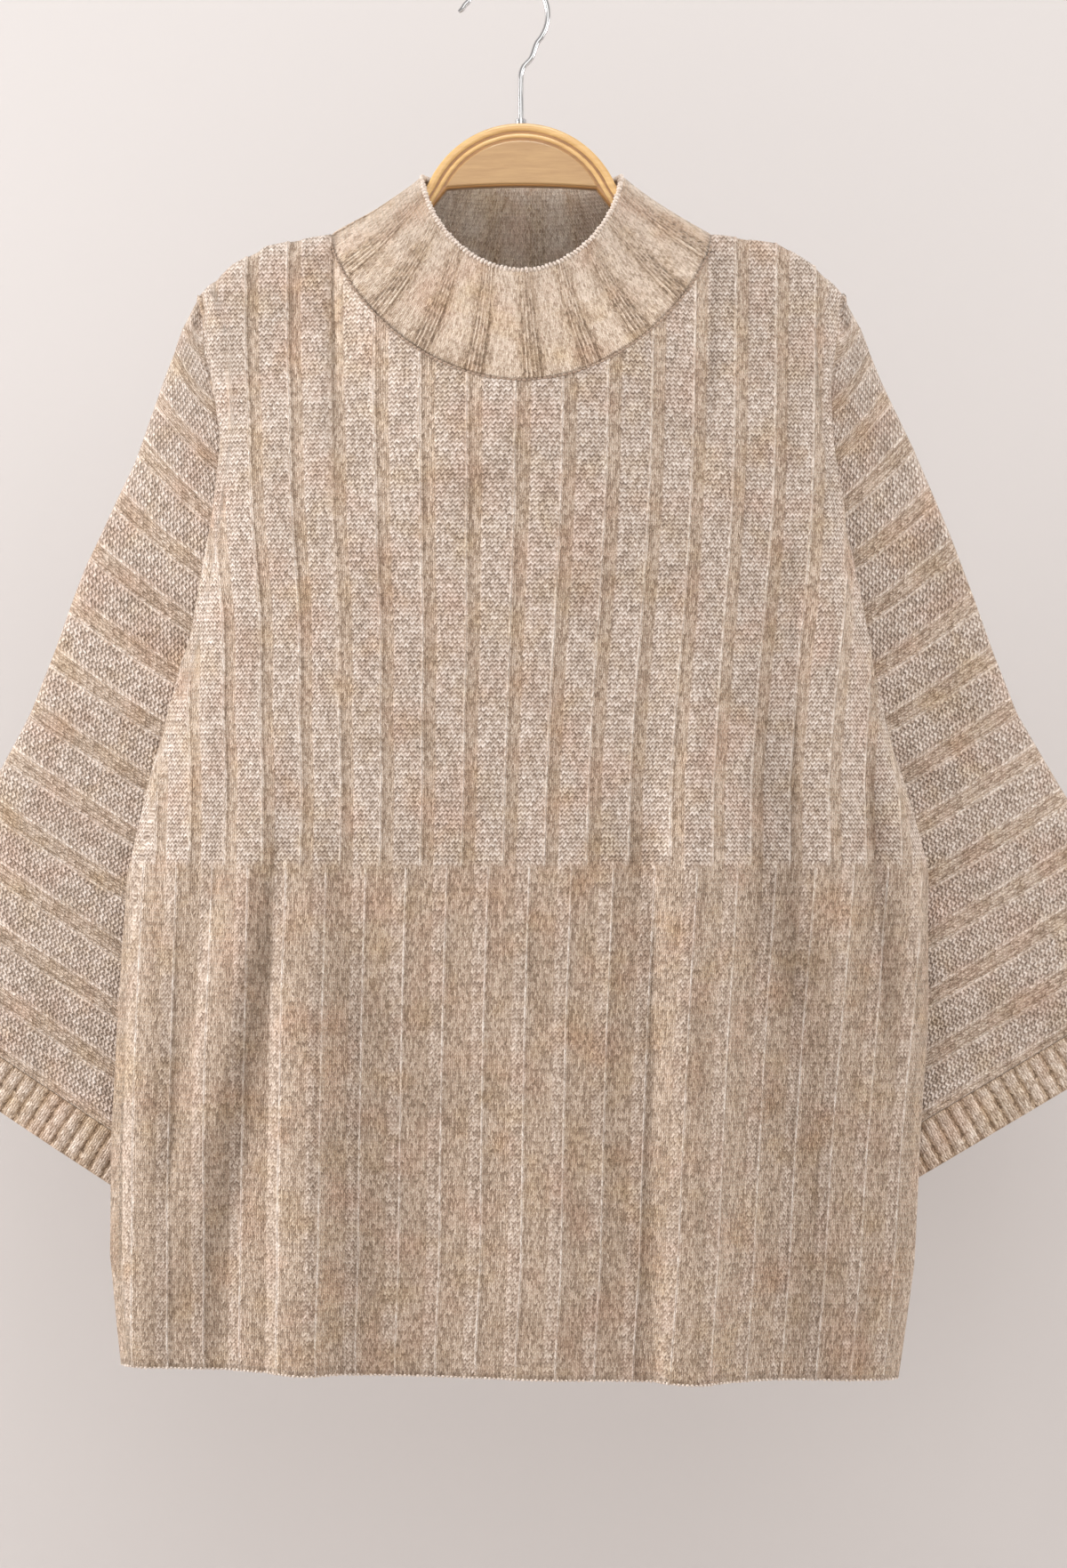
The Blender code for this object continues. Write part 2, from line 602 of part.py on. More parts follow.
def shared_normals():
    """Normals of both panels, the same on either side of a seam, and the way in from each edge.

    Where body and sleeve meet at the armpit the cloth faces down, and a little to the side.
    """
    total, inward = {}, {-1: {}, 1: {}}
    for face in (-1, 1):
        surface, edge = panel_surface(face)
        normals, neighbours = surface_normals(surface, (0.0, face, 0.0))
        for point, normal in zip(surface.points, normals):
            total[key(point)] = total.get(key(point), np.zeros(3)) + normal
        on_edge = {v for _, v in edge}
        for kind, v in edge:
            inside = [n for n in neighbours[v] if n not in on_edge] or neighbours[v]
            step = np.mean([surface.points[n] for n in inside], axis=0) - surface.points[v]
            inward[face][key(surface.points[v])] = step
        for k, (kind, v) in enumerate(edge):
            step = cuff_step(surface, edge, k)
            if step is not None:
                across = np.array([step[0], 0.0, step[2]])
                axis = np.cross(across / np.linalg.norm(across), (0.0, 1.0, 0.0))
                place = key(surface.points[v])
                total[place] = total[place] - axis * np.dot(total[place], axis)
        for angle_point, normal in neckline_normals(surface, edge, face):
            total[key(angle_point)] = normal
    for sign in (-1, 1):
        total[armpit_key(sign)] = np.array([sign * ARMPIT_LEAN, 0.0, -1.0])
    for place, normal in total.items():
        total[place] = normal / np.linalg.norm(normal)
    return total, inward


def armpit_key(sign):
    """Place of the point where the side seam, the sleeve and the body meet."""
    return key((sign * ARMPIT[0], sleeve_depth("middle", STRIPS_TO_ARMPIT), ARMPIT[1]))


def neckline_normals(surface, edge, face):
    """The neckline's points, each with the direction in which the cloth faces there."""
    found = []
    for kind, v in edge:
        point = surface.points[v]
        if kind == "top" and abs(point[0]) <= NECK_HALF + 1e-6:
            angle = math.acos(min(max(point[0] / NECK_HALF, -1.0), 1.0))
            found.append((point, neck_normal(angle if face > 0 else -angle)))
    return found


def cuff_step(surface, edge, k):
    """For a point on the sleeve's end, the way to its neighbour on that end."""
    here = surface.points[edge[k][1]]
    for n in (k - 1, k + 1):
        kind, v = edge[n % len(edge)]
        if "cuff" in (kind, edge[k][0]):
            return surface.points[v] - here
    return None


def panel(name, face, normals, inward):
    """One knitted panel: ribbed outside, plain inside, one closed wall."""
    outer, outer_edge = panel_surface(face)
    inner, inner_edge = panel_surface(face, 3)
    pulls = {}
    for k, (kind, v) in enumerate(outer_edge):
        place = key(outer.points[v])
        step = inward[face][place]
        corner = cuff_step(outer, outer_edge, k) if kind == "seam" else None
        if corner is not None:
            step = corner
        gap = 0.0 if kind in ("hem", "cuff") else SEAM / 2.0
        if kind == "top" and abs(outer.points[v][0]) <= NECK_HALF + 1e-6:
            gap = NECK_SEAM / 2.0
        normal = normals[place]
        step = step - normal * np.dot(step, normal)
        pulls[place] = step / np.linalg.norm(step) * gap if gap else np.zeros(3)
    verts, faces = [], []
    for surface, sunk in ((outer, 0.0), (inner, WALL)):
        start = len(verts)
        for point, rib in zip(surface.points, surface.ribs):
            place = key(point)
            out = -sunk if sunk else rib
            if place in (armpit_key(-1), armpit_key(1)):
                out *= ARMPIT_WALL
            verts.append(point + normals[place] * out + pulls.get(place, np.zeros(3)))
        faces += [tuple(i + start for i in f) for f in surface.faces]
    marks = {key(outer.points[v]): n for n, (_, v) in enumerate(outer_edge)}
    outer_loop = [(n, v) for n, (_, v) in enumerate(outer_edge)]
    outer_loop.append((len(outer_edge), outer_edge[0][1]))
    shift = len(outer.points)
    inner_loop = [(marks[key(inner.points[v])], v + shift) for _, v in inner_edge]
    inner_loop.append((len(outer_edge), inner_edge[0][1] + shift))
    rim = Surface()
    rim.stitch(outer_loop, inner_loop, split=True)
    return knit_object(name, verts, faces + rim.faces)


def knit_object(name, verts, faces, material="knit"):
    """A mesh object from points in millimetres round the garment's middle plane."""
    mesh = bmesh.new()
    placed = [mesh.verts.new(((p[0] + CENTRE_X) / 1000.0, p[1] / 1000.0, p[2] / 1000.0))
              for p in verts]
    for face in faces:
        mesh.faces.new([placed[i] for i in face])
    bmesh.ops.recalc_face_normals(mesh, faces=mesh.faces)
    bmesh.ops.triangulate(mesh, faces=mesh.faces)
    return finish(name, mesh, material)


def finish(name, mesh, material):
    """Turns a finished bmesh into an object of the part."""
    data = bpy.data.meshes.new(name)
    mesh.to_mesh(data)
    mesh.free()
    data.materials.append(bpy.data.materials[material])
    thing = bpy.data.objects.new(name, data)
    bpy.data.collections[COLLECTION].objects.link(thing)
    return thing


def ring_wall(name, rows, ribs, normals):
    """A closed wall from rings of outer points, each ring with the same number of points."""
    count = len(rows[0])
    verts, faces = [], []
    for sunk in (False, True):
        for row, rib_row, normal_row in zip(rows, ribs, normals):
            for point, rib, normal in zip(row, rib_row, normal_row):
                verts.append(point + normal * (-WALL if sunk else rib))
    layer = len(rows) * count
    for r in range(len(rows) - 1):
        for c in range(count):
            d = (c + 1) % count
            for start in (0, layer):
                faces.append((start + r * count + c, start + r * count + d,
                              start + (r + 1) * count + d, start + (r + 1) * count + c))
    for r in (0, len(rows) - 1):
        for c in range(count):
            d = (c + 1) % count
            faces.append((r * count + c, r * count + d,
                          layer + r * count + d, layer + r * count + c))
    return knit_object(name, verts, faces)


def ring_normals(rows, middle):
    """Outward normals of rings of points round a middle point."""
    rows = np.array(rows)
    along = np.roll(rows, -1, axis=1) - np.roll(rows, 1, axis=1)
    up = np.gradient(rows, axis=0)
    normals = np.cross(along, up)
    normals /= np.linalg.norm(normals, axis=2)[:, :, None]
    if np.sum(normals * (rows - np.asarray(middle))) < 0.0:
        normals = -normals
    return normals


def even_angles(curve, count):
    """Angles that cut a closed curve into equal lengths, from angle 0."""
    angles = np.linspace(0.0, 2.0 * math.pi, 721)
    points = np.array([curve(a) for a in angles])
    run = np.concatenate(([0.0], np.cumsum(np.linalg.norm(np.diff(points, axis=0), axis=1))))
    return np.interp(np.arange(count) / count * run[-1], run, angles)


# ---------------------------------------------------------------- the pieces
def collar():
    """Funnel neck, knitted as a tube: narrow ribs at the seam that fade towards the top."""
    count = COLLAR_RIBS * 4
    base = [neck_point(a) for a in even_angles(neck_point, count)]
    top = [top_point(a) for a in even_angles(top_point, count)]
    rows = []
    for share in COLLAR_ROWS:
        ring = []
        for low, high in zip(base, top):
            point = low + (high - low) * share
            inwards = np.array([-point[0], -point[1], 0.0])
            inwards /= np.linalg.norm(inwards)
            ring.append(point + inwards * COLLAR_WAIST * math.sin(math.pi * share))
        rows.append(ring)
    normals = ring_normals(rows, COLLAR_MIDDLE)
    for c, angle in enumerate(even_angles(neck_point, count)):
        normals[0][c] = neck_normal(angle)
        rise = rows[1][c] - rows[0][c]
        rise -= normals[0][c] * np.dot(rise, normals[0][c])
        rows[0][c] = rows[0][c] + rise / np.linalg.norm(rise) * NECK_SEAM / 2.0
    heights = [RIB * (1.0 - COLLAR_FADE * share) if 0.0 < share < 1.0 else 0.0
               for share in COLLAR_ROWS]
    ribs = [[height if c % 4 in (1, 2) else 0.0 for c in range(count)] for height in heights]
    return ring_wall("collar", rows, ribs, normals)


def cuff(sign):
    """Ribbed cuff, a short tube on the sleeve's end."""
    front, back = sleeve_line(-1, sign, STRIPS), sleeve_line(1, sign, STRIPS)
    loop = np.array(front + back[-2:0:-1])
    closed = np.vstack((loop, loop[:1]))
    count = CUFF_RIBS * 2
    ring = [polyline_point(closed, n / count) for n in range(count)]
    across = front[-1] - front[0]
    across[1] = 0.0
    across /= np.linalg.norm(across)
    axis = np.cross(across, (0.0, 1.0, 0.0))
    axis *= -1.0 if axis[2] > 0.0 else 1.0
    middle = np.mean(ring, axis=0)
    rows = []
    for share in (0.0, 0.5, 1.0):
        gather = 1.0 + CUFF_FLARE * share
        moved = axis * (SEAM + CUFF_LENGTH * share)
        rows.append([middle + (p - middle) * gather + moved for p in ring])
    normals = ring_normals(rows, middle)
    for row in normals:
        for c in range(count):
            row[c] -= axis * np.dot(row[c], axis)
            row[c] /= np.linalg.norm(row[c])
    ribs = [[RIB if c % 2 else 0.0 for c in range(count)] for _ in rows]
    return ring_wall("cuff_" + side_name(sign), rows, ribs, normals)


def hanger():
    """Flat wooden hanger: an arch over a plate, and two arms under the shoulders."""
    top = [(x, z) for x, z in WOOD_ARCH]
    under = WALL + SHOULDER_CLEAR
    for x, ease in ARM_POINTS:
        lower = min(shoulder_height(-1, x), shoulder_height(1, x)) - under * ease
        top.append((x, lower))
    low = []
    for (x0, z0), (x1, z1) in zip(top[ARCH_FOOT:], top[ARCH_FOOT + 1:]):
        slope = np.array([x1 - x0, z1 - z0])
        slope /= np.linalg.norm(slope)
        low.append((x0 + slope[1] * ARM_WIDTH, z0 - slope[0] * ARM_WIDTH))
    end = top[-1]
    low.append((end[0] - ARM_NARROWS, end[1] - ARM_WIDTH))
    low.insert(0, (PLATE_HALF, PLATE_LOW))
    half = top + low[::-1]
    outline = half + [(-x, z) for x, z in half[::-1] if x > 0.0]
    mesh = bmesh.new()
    verts = [mesh.verts.new(((x + CENTRE_X) / 1000.0, -WOOD_HALF / 1000.0, z / 1000.0))
             for x, z in outline]
    flat = mesh.faces.new(verts)
    grown = bmesh.ops.extrude_face_region(mesh, geom=[flat])
    moved = [v for v in grown["geom"] if isinstance(v, bmesh.types.BMVert)]
    bmesh.ops.translate(mesh, verts=moved, vec=(0.0, 2.0 * WOOD_HALF / 1000.0, 0.0))
    bmesh.ops.recalc_face_normals(mesh, faces=mesh.faces)
    thing = finish("hanger", mesh, "wood")
    bevel = thing.modifiers.new("rounded_edges", "BEVEL")
    bevel.width = WOOD_ROUND / 1000.0
    bevel.segments = 2
    bevel.limit_method = "ANGLE"
    bevel.angle_limit = math.radians(50.0)
    return thing


def hook():
    """Bright wire hook: a stem, most of a circle and a tip that turns out."""
    centre_z = -HOOK_RADIUS + HOOK_WIRE
    points = [(STEM_X, WOOD_TOP + SEAM + rise) for rise in STEM_RISES] + list(HOOK_NECK)
    for degrees in HOOK_TURN:
        turn = math.radians(degrees)
        points.append((HOOK_RADIUS * math.cos(turn), centre_z + HOOK_RADIUS * math.sin(turn)))
    points += HOOK_TIP
    data = bpy.data.curves.new("hook", "CURVE")
    data.dimensions = "3D"
    data.bevel_depth = HOOK_WIRE / 1000.0
    data.bevel_resolution = 2
    data.use_fill_caps = True
    spline = data.splines.new("POLY")
    spline.points.add(len(points) - 1)
    for slot, (x, z) in zip(spline.points, points):
        slot.co = (x / 1000.0, 0.0, z / 1000.0, 1.0)
    data.materials.append(bpy.data.materials["chrome"])
    thing = bpy.data.objects.new("hook", data)
    bpy.data.collections[COLLECTION].objects.link(thing)
    return thing


def main():
    for thing in list(bpy.data.objects):
        bpy.data.objects.remove(thing, do_unlink=True)
    bpy.context.scene.collection.children.link(bpy.data.collections.new(COLLECTION))
    for name, (colour, rough, metal) in COLOURS.items():
        material = bpy.data.materials.new(name)
        material.use_nodes = True
        shader = material.node_tree.nodes["Principled BSDF"]
        shader.inputs["Base Color"].default_value = colour
        shader.inputs["Roughness"].default_value = rough
        shader.inputs["Metallic"].default_value = metal
    normals, inward = shared_normals()
    panel("front", -1, normals, inward)
    panel("back", 1, normals, inward)
    collar()
    for sign in (-1, 1):
        cuff(sign)
    hanger()
    hook()


main()
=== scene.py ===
# %% [markdown]
# # A mock neck sweater on a wooden hanger
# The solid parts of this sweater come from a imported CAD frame. They are plain: a wall, its raised
# bands and its main folds. Here each knitted piece is made again as a thin shell on the same form,
# with finer bands, softer creases and a stitch pattern, and the hanger gets its rims and lacquer.
# Lengths are typed in millimetres, because that is how a knitter measures, and turned into metres
# when a mesh is made.

# %% Load the frame
import math

import bmesh
import bpy
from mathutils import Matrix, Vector
import numpy as np


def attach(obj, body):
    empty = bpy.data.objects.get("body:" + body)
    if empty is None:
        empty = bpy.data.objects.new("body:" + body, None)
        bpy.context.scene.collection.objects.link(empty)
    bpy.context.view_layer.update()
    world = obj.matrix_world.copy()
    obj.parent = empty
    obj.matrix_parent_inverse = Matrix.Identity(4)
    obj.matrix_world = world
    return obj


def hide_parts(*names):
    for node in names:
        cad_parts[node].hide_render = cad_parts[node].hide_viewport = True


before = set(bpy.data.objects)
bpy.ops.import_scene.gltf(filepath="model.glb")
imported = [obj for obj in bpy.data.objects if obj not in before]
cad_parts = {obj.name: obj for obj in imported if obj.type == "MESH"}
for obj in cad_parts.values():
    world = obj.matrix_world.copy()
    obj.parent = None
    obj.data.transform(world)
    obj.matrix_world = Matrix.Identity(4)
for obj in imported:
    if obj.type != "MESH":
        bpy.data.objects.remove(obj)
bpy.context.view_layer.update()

# %% [markdown]
# ## Where everything hangs
# The origin is the inner top of the hook. +X is to the right, -Y towards the viewer and +Z up.
# The garment's own centre line lies a little to the right of the hook's eye, as in the photograph.

# %% Main sizes
CENTRE_X = 9.0
WALL = 1.9                # knitted wall
RIB = 1.1                 # height of a raised band over the wall
BODY_RECESS = -0.41       # band position of the first sunk strip
BAND_EASE = 0.06          # bands are this share wider at the centre than on average
BAND_LEAN = ((-832.0, -5.0), (-779.0, -2.0), (-634.0, 0.0), (-498.0, 4.0), (-277.0, 12.0),
             (-193.0, 13.0))     # by level: how far right the bands have moved
STRIPS = 15               # bands across each sleeve
STRIPS_TO_ARMPIT = 7
CHANGE_Z = -541.0         # below this level wide and narrow bands change places
CORNER = (195.0, -193.0)  # shoulder corner: half width and height
CORNER_BANDS = 7.2
ARMPIT = (174.0, -446.0)
RESTING = 10.5            # depth of the cloth just under the shoulder fold
FILL_DROP = 170.0         # this far below the shoulders the body has its full depth
FOLD_END = 6.0            # the body's own points end this far before the side fold
CLOSES_FROM = 0.82        # the sleeve's underarm closes from this share of the way to the armpit
HEM_Z = -846.0
HEM_FALL, HEM_HALF = 4.5, 240.0  # the hem falls this much to the right, over this half width
HEM_SLOPE_FROM, HEM_SLOPE_OVER = -700.0, 140.0   # where that slope starts, and over what height
BACK_TUCK = 24.0          # the back's armpit lies this far inside the front's
TURN_PLACE, TURN_DEPTH = 0.6, 0.45   # the turn's middle point, as shares of the body's fold
TURN_TUCK = 3.5           # how far the front's turn is pushed out on its way down
FOLD_TO_SLEEVE, FOLD_OPENING = 9.0, 15.0   # gap from body to sleeve at the top, and what it gains
SLEEVE_SAG = 5.0          # the bands of the sleeve sag this much
OVERARM_ROUND, UNDERARM_ROUND = 8, 14      # powers: how tightly the sleeve's two folds are rounded
RELIEF = 0.75             # share of a band's height that is left in soft fine knitting
WALE = 10.0               # wales of stitches in one band
ROW = 2.7                 # height of one row of stitches
SEAM = 0.3                # gap between two pieces at a seam
PER_METRE = 1000.0        # the tables are in millimetres, Blender is in metres

NECK_HALF, NECK_Z = 116.0, -157.0
NECK_FRONT_DROP, NECK_BACK_DROP = 94.0, 29.0
NECK_FRONT_DEPTH, NECK_BACK_DEPTH = 55.0, 46.0
TOP_HALF, TOP_Z = 60.5, -121.0
TOP_FRONT_DROP, TOP_FRONT_DEPTH, TOP_BACK_DEPTH = 62.0, 36.0, 50.0
NECK_DIP, TOP_DIP, TOP_BACK_RISE = 1.4, 1.2, 2.0   # powers of the two dips in front; rise at the back

# %% [markdown]
# ## Tables of the drape
# A hanging sweater isn't flat and isn't round. These short tables say, level by level, how far the
# side fold lies from the centre and how many bands fit before it, and for the sleeve how deep it
# hangs behind the body. The columns are named, so a row can be read like a sentence.

# %% Drape tables
SLEEVE_COLUMNS = ("strip", "middle", "front", "back")
SLEEVE = (
    (0.0, 0.0, 9.5, 9.5),
    (2.0, 5.0, 9.5, 9.5),
    (4.0, 12.0, 9.5, 10.5),
    (6.0, 18.0, 4.0, 10.0),
    (7.0, 21.5, 2.0, 9.0),
    (8.0, 31.0, 3.0, 10.0),
    (9.5, 36.0, 6.0, 11.0),
    (12.0, 36.0, 11.0, 11.0),
    (15.0, 36.0, 11.0, 11.0),
)
BODY_LEVELS = ("z", "left", "right", "bands", "wrap")
BODY = (
    (-193.0, 195.0, 195.0, 7.20, 0.0),
    (-230.0, 186.0, 184.0, 7.15, 4.0),
    (-283.0, 180.0, 187.0, 7.20, 11.0),
    (-338.0, 188.5, 196.0, 7.60, 21.0),
    (-392.0, 198.0, 207.0, 8.20, 31.0),
    (-446.0, 214.0, 218.0, 8.90, 41.0),
    (-489.0, 226.0, 231.0, 9.65, 31.0),
    (-543.0, 239.0, 247.0, 10.30, 28.0),
    (-634.0, 246.0, 246.0, 10.60, 27.0),
    (-716.0, 249.5, 241.0, 10.70, 27.0),
    (-779.0, 250.0, 238.0, 10.75, 26.0),
    (-846.0, 243.0, 229.0, 10.60, 26.0),
)
OVERARM_COLUMNS = ("left", "left_z", "right", "right_z")
OVERARM = (
    (116.0, -157.0, 116.0, -157.0),
    (154.0, -163.5, 156.0, -163.0),
    (174.5, -174.5, 177.0, -175.5),
    (195.0, -193.0, 195.0, -193.0),
    (205.0, -212.0, 205.5, -212.5),
    (216.0, -240.0, 218.0, -243.0),
    (236.5, -294.0, 239.0, -285.0),
    (267.0, -357.0, 262.0, -338.0),
    (302.0, -444.0, 305.0, -446.0),
    (389.0, -612.0, 401.0, -605.0),
)
# The bands fan out from the shoulder: by strip, how far down the overarm each one ends.
FAN = ((0.0, 0.0), (2.0, 0.085), (3.5, 0.175), (4.5, 0.25), (7.0, 0.44), (9.0, 0.59), (15.0, 1.0))
CUFF_INNER = {"left": (217.0, -726.0), "right": (215.0, -716.0)}

# Folds: place and height of both ends, how far the cloth stands out (+) or in (-), and the fold's
# width on its left and on its right. A ridge starts at a crease on its left and falls softly on
# its right. A ridge that ends above the hem fades there.
FOLD_COLUMNS = ("x0", "z0", "x1", "z1", "out", "left", "right")
FRONT_FOLDS = (
    (-127.0, -470.0, -129.0, -860.0, 13.0, 24.0, 14.0),
    (-145.0, -440.0, -186.0, -700.0, 9.0, 22.0, 11.0),
    (-174.0, -640.0, -178.0, -860.0, -6.0, 20.0, 14.0),
    (-224.0, -520.0, -230.0, -860.0, 6.0, 14.0, 12.0),
    (-60.0, -560.0, -66.0, -860.0, -5.0, 46.0, 36.0),
    (104.0, -350.0, 104.0, -860.0, 15.0, 25.0, 18.0),
    (186.0, -250.0, 186.0, -560.0, 11.0, 22.0, 14.0),
    (156.0, -540.0, 160.0, -860.0, -8.0, 26.0, 28.0),
    (138.0, -260.0, 136.0, -560.0, -4.0, 16.0, 16.0),
    (222.0, -400.0, 240.0, -620.0, 9.0, 20.0, 14.0),
    (10.0, -620.0, 14.0, -860.0, 4.0, 26.0, 28.0),
)
BACK_FOLDS = (
    (-120.0, -430.0, -128.0, -860.0, 8.0, 26.0, 28.0),
    (-40.0, -480.0, -52.0, -860.0, -6.0, 34.0, 34.0),
    (38.0, -420.0, 44.0, -860.0, 8.0, 28.0, 20.0),
    (118.0, -500.0, 126.0, -860.0, -7.0, 28.0, 28.0),
    (170.0, -480.0, 178.0, -760.0, 5.0, 20.0, 18.0),
    (-176.0, -520.0, -184.0, -800.0, 5.0, 20.0, 16.0),
)
print(len(FRONT_FOLDS), "front folds,", len(BACK_FOLDS), "back folds")

# %% [markdown]
# ## Reading the tables
# Small helpers turn the tables into smooth functions. A maker would do the same by laying a
# flexible curve through a few measured points.

# %% Table helpers
def column(table, names, name):
    return np.array([row[names.index(name)] for row in table])


LEVELS = {name: column(BODY, BODY_LEVELS, name)[::-1] for name in BODY_LEVELS}
DEPTHS = {name: column(SLEEVE, SLEEVE_COLUMNS, name) for name in SLEEVE_COLUMNS}
SIDES = {-1: "left", 1: "right"}
OVER = {s: np.column_stack((column(OVERARM, OVERARM_COLUMNS, SIDES[s]),
                            column(OVERARM, OVERARM_COLUMNS, SIDES[s] + "_z"))) for s in SIDES}


def at_level(name, z):
    return float(np.interp(z, LEVELS["z"], LEVELS[name]))


def smooth(t):
    t = min(max(t, 0.0), 1.0)
    return t * t * (3.0 - 2.0 * t)


def run_along(points):
    """Length of a line of points up to each of them."""
    steps = np.diff(np.asarray(points, dtype=float), axis=0)
    return np.concatenate(([0.0], np.cumsum(np.linalg.norm(steps, axis=1))))


def along(points, share, values=None):
    """The point, or what belongs to it, at a share of a line's length."""
    run = run_along(points)
    values = np.asarray(points if values is None else values, dtype=float)
    return np.array([np.interp(share * run[-1], run, values[:, i]) for i in range(values.shape[1])])


def curve_through(points, steps):
    """A smooth curve through every point, with the same number of steps in each span."""
    points = [np.asarray(p, dtype=float) for p in points]
    ends = [2.0 * points[0] - points[1]] + points + [2.0 * points[-1] - points[-2]]
    curve = []
    for a, b, c, d in zip(ends, ends[1:], ends[2:], ends[3:]):
        for k in range(steps):
            t = k / steps
            curve.append(0.5 * (2 * b + (c - a) * t + (2 * a - 5 * b + 4 * c - d) * t * t
                                + (3 * b - a - 3 * c + d) * t ** 3))
    return curve + [points[-1]]

# %% The body's form
FRONT_DEPTHS = ((-846.0, 32.0), (-640.0, 36.0), (-446.0, 44.0), (-251.0, 54.0))   # (height, depth)
BACK_DEPTHS = ((-846.0, 30.0), (-640.0, 31.0), (-446.0, 38.0), (-300.0, 44.0))
FRONT_CLOSE, BACK_CLOSE = 0.78, 0.75       # share of the depth that is lost towards the side folds
FRONT_OPENS, OPEN_FROM, OPEN_OVER = 0.16, -560.0, 110.0   # the front loses less above a level
CLOSE_POWER = 2.6


def full_depth(face, distance, z, edge):
    """Depth of the hanging cloth away from the shoulders, before its folds."""
    share = min(abs(distance) / edge, 1.0)
    depth = np.interp(z, *zip(*(FRONT_DEPTHS if face < 0 else BACK_DEPTHS)))
    close = FRONT_CLOSE - FRONT_OPENS * smooth((z - OPEN_FROM) / OPEN_OVER) if face < 0 else BACK_CLOSE
    return float(depth) * (1.0 - close * share ** CLOSE_POWER)


# Where the front starts to roll to each side fold, and how deep it rolls.
SIDE_ROLL_COLUMNS = ("z", "left", "left_drop", "right", "right_drop")
SIDE_ROLL = (
    (-230.0, 176.0, 0.0, 178.0, 0.0),
    (-300.0, 171.0, 4.0, 178.0, 1.5),
    (-338.0, 172.0, 7.0, 184.0, 3.0),
    (-446.0, 186.0, 11.0, 202.0, 5.0),
    (-500.0, 193.0, 12.0, 215.0, 8.0),
    (-543.0, 199.0, 12.0, 226.0, 8.0),
    (-600.0, 212.0, 8.0, 228.0, 6.0),
    (-700.0, 224.0, 4.0, 224.0, 4.0),
    (-846.0, 220.0, 3.0, 212.0, 3.0),
)


ROLLS = {name: column(SIDE_ROLL, SIDE_ROLL_COLUMNS, name)[::-1] for name in SIDE_ROLL_COLUMNS}


def side_roll(x, z):
    """How far the front lies back near its side folds, where it catches the light."""
    side = "left" if x < 0.0 else "right"
    start, drop = (float(np.interp(z, ROLLS["z"], ROLLS[n])) for n in (side, side + "_drop"))
    share = max(abs(x) - start, 0.0) / max(at_level(side, z) - start, 4.0)
    return -drop * min(share, 1.3) ** 1.4


def folds(table, x, z):
    """How far all the folds of a table move the cloth out at one place."""
    out = 0.0
    for x0, z0, x1, z1, height, left, right in table:
        share = (z0 - z) / (z0 - z1)
        if share <= 0.0:
            continue
        away = x - (x0 + (x1 - x0) * min(share, 1.2))
        grown = height * smooth(share * 2.2) * (1.0 - smooth((share - 1.0) * 2.5))
        if height > 0.0 and away < 0.0:
            rise = max(1.0 + away / left, 0.0)
            out += grown * rise * (2.0 - rise)
        else:
            half = left if away < 0.0 else right
            out += grown * math.exp(-(away / half) ** 2)
    return out


def body_point(face, x, z, top_z, top_depth, edge):
    """A point of the hanging body, where its top edge lies at top_z and edge is its half width."""
    below = max(top_z - z, 0.0)
    full = full_depth(face, x, z, edge)
    round_over = math.sqrt(1.0 - (1.0 - min(below / RESTING, 1.0)) ** 2)
    depth = top_depth + max(RESTING - top_depth, 0.0) * round_over
    depth += (full - max(top_depth, RESTING)) * smooth(below / FILL_DROP)
    depth += folds(FRONT_FOLDS if face < 0 else BACK_FOLDS, x, z)
    if face < 0:
        depth += side_roll(x, z)
    return np.array([x, face * depth, z])


def band_place(band, level, spread):
    """Distance from the centre of a band position, where bands are about spread wide."""
    share = min(max(band / at_level("bands", level), -1.0), 1.0)
    levels, leans = zip(*BAND_LEAN)
    lean = float(np.interp(level, levels, leans)) * (1.0 - max(share, 0.0))
    return band * spread * (1.0 + BAND_EASE * (1.0 - share * share)) + lean


def hem_slope(x, z):
    return -HEM_FALL * x / HEM_HALF * smooth((HEM_SLOPE_FROM - z) / HEM_SLOPE_OVER)

# %% The sleeve's form
def side_fold(face, sign, z):
    """Distance from the centre of the line where the body turns into the sleeve."""
    if face < 0:
        return at_level(SIDES[sign], z)
    share = (CORNER[1] - z) / (CORNER[1] - ARMPIT[1])
    return CORNER[0] + (ARMPIT[0] - BACK_TUCK - CORNER[0]) * share


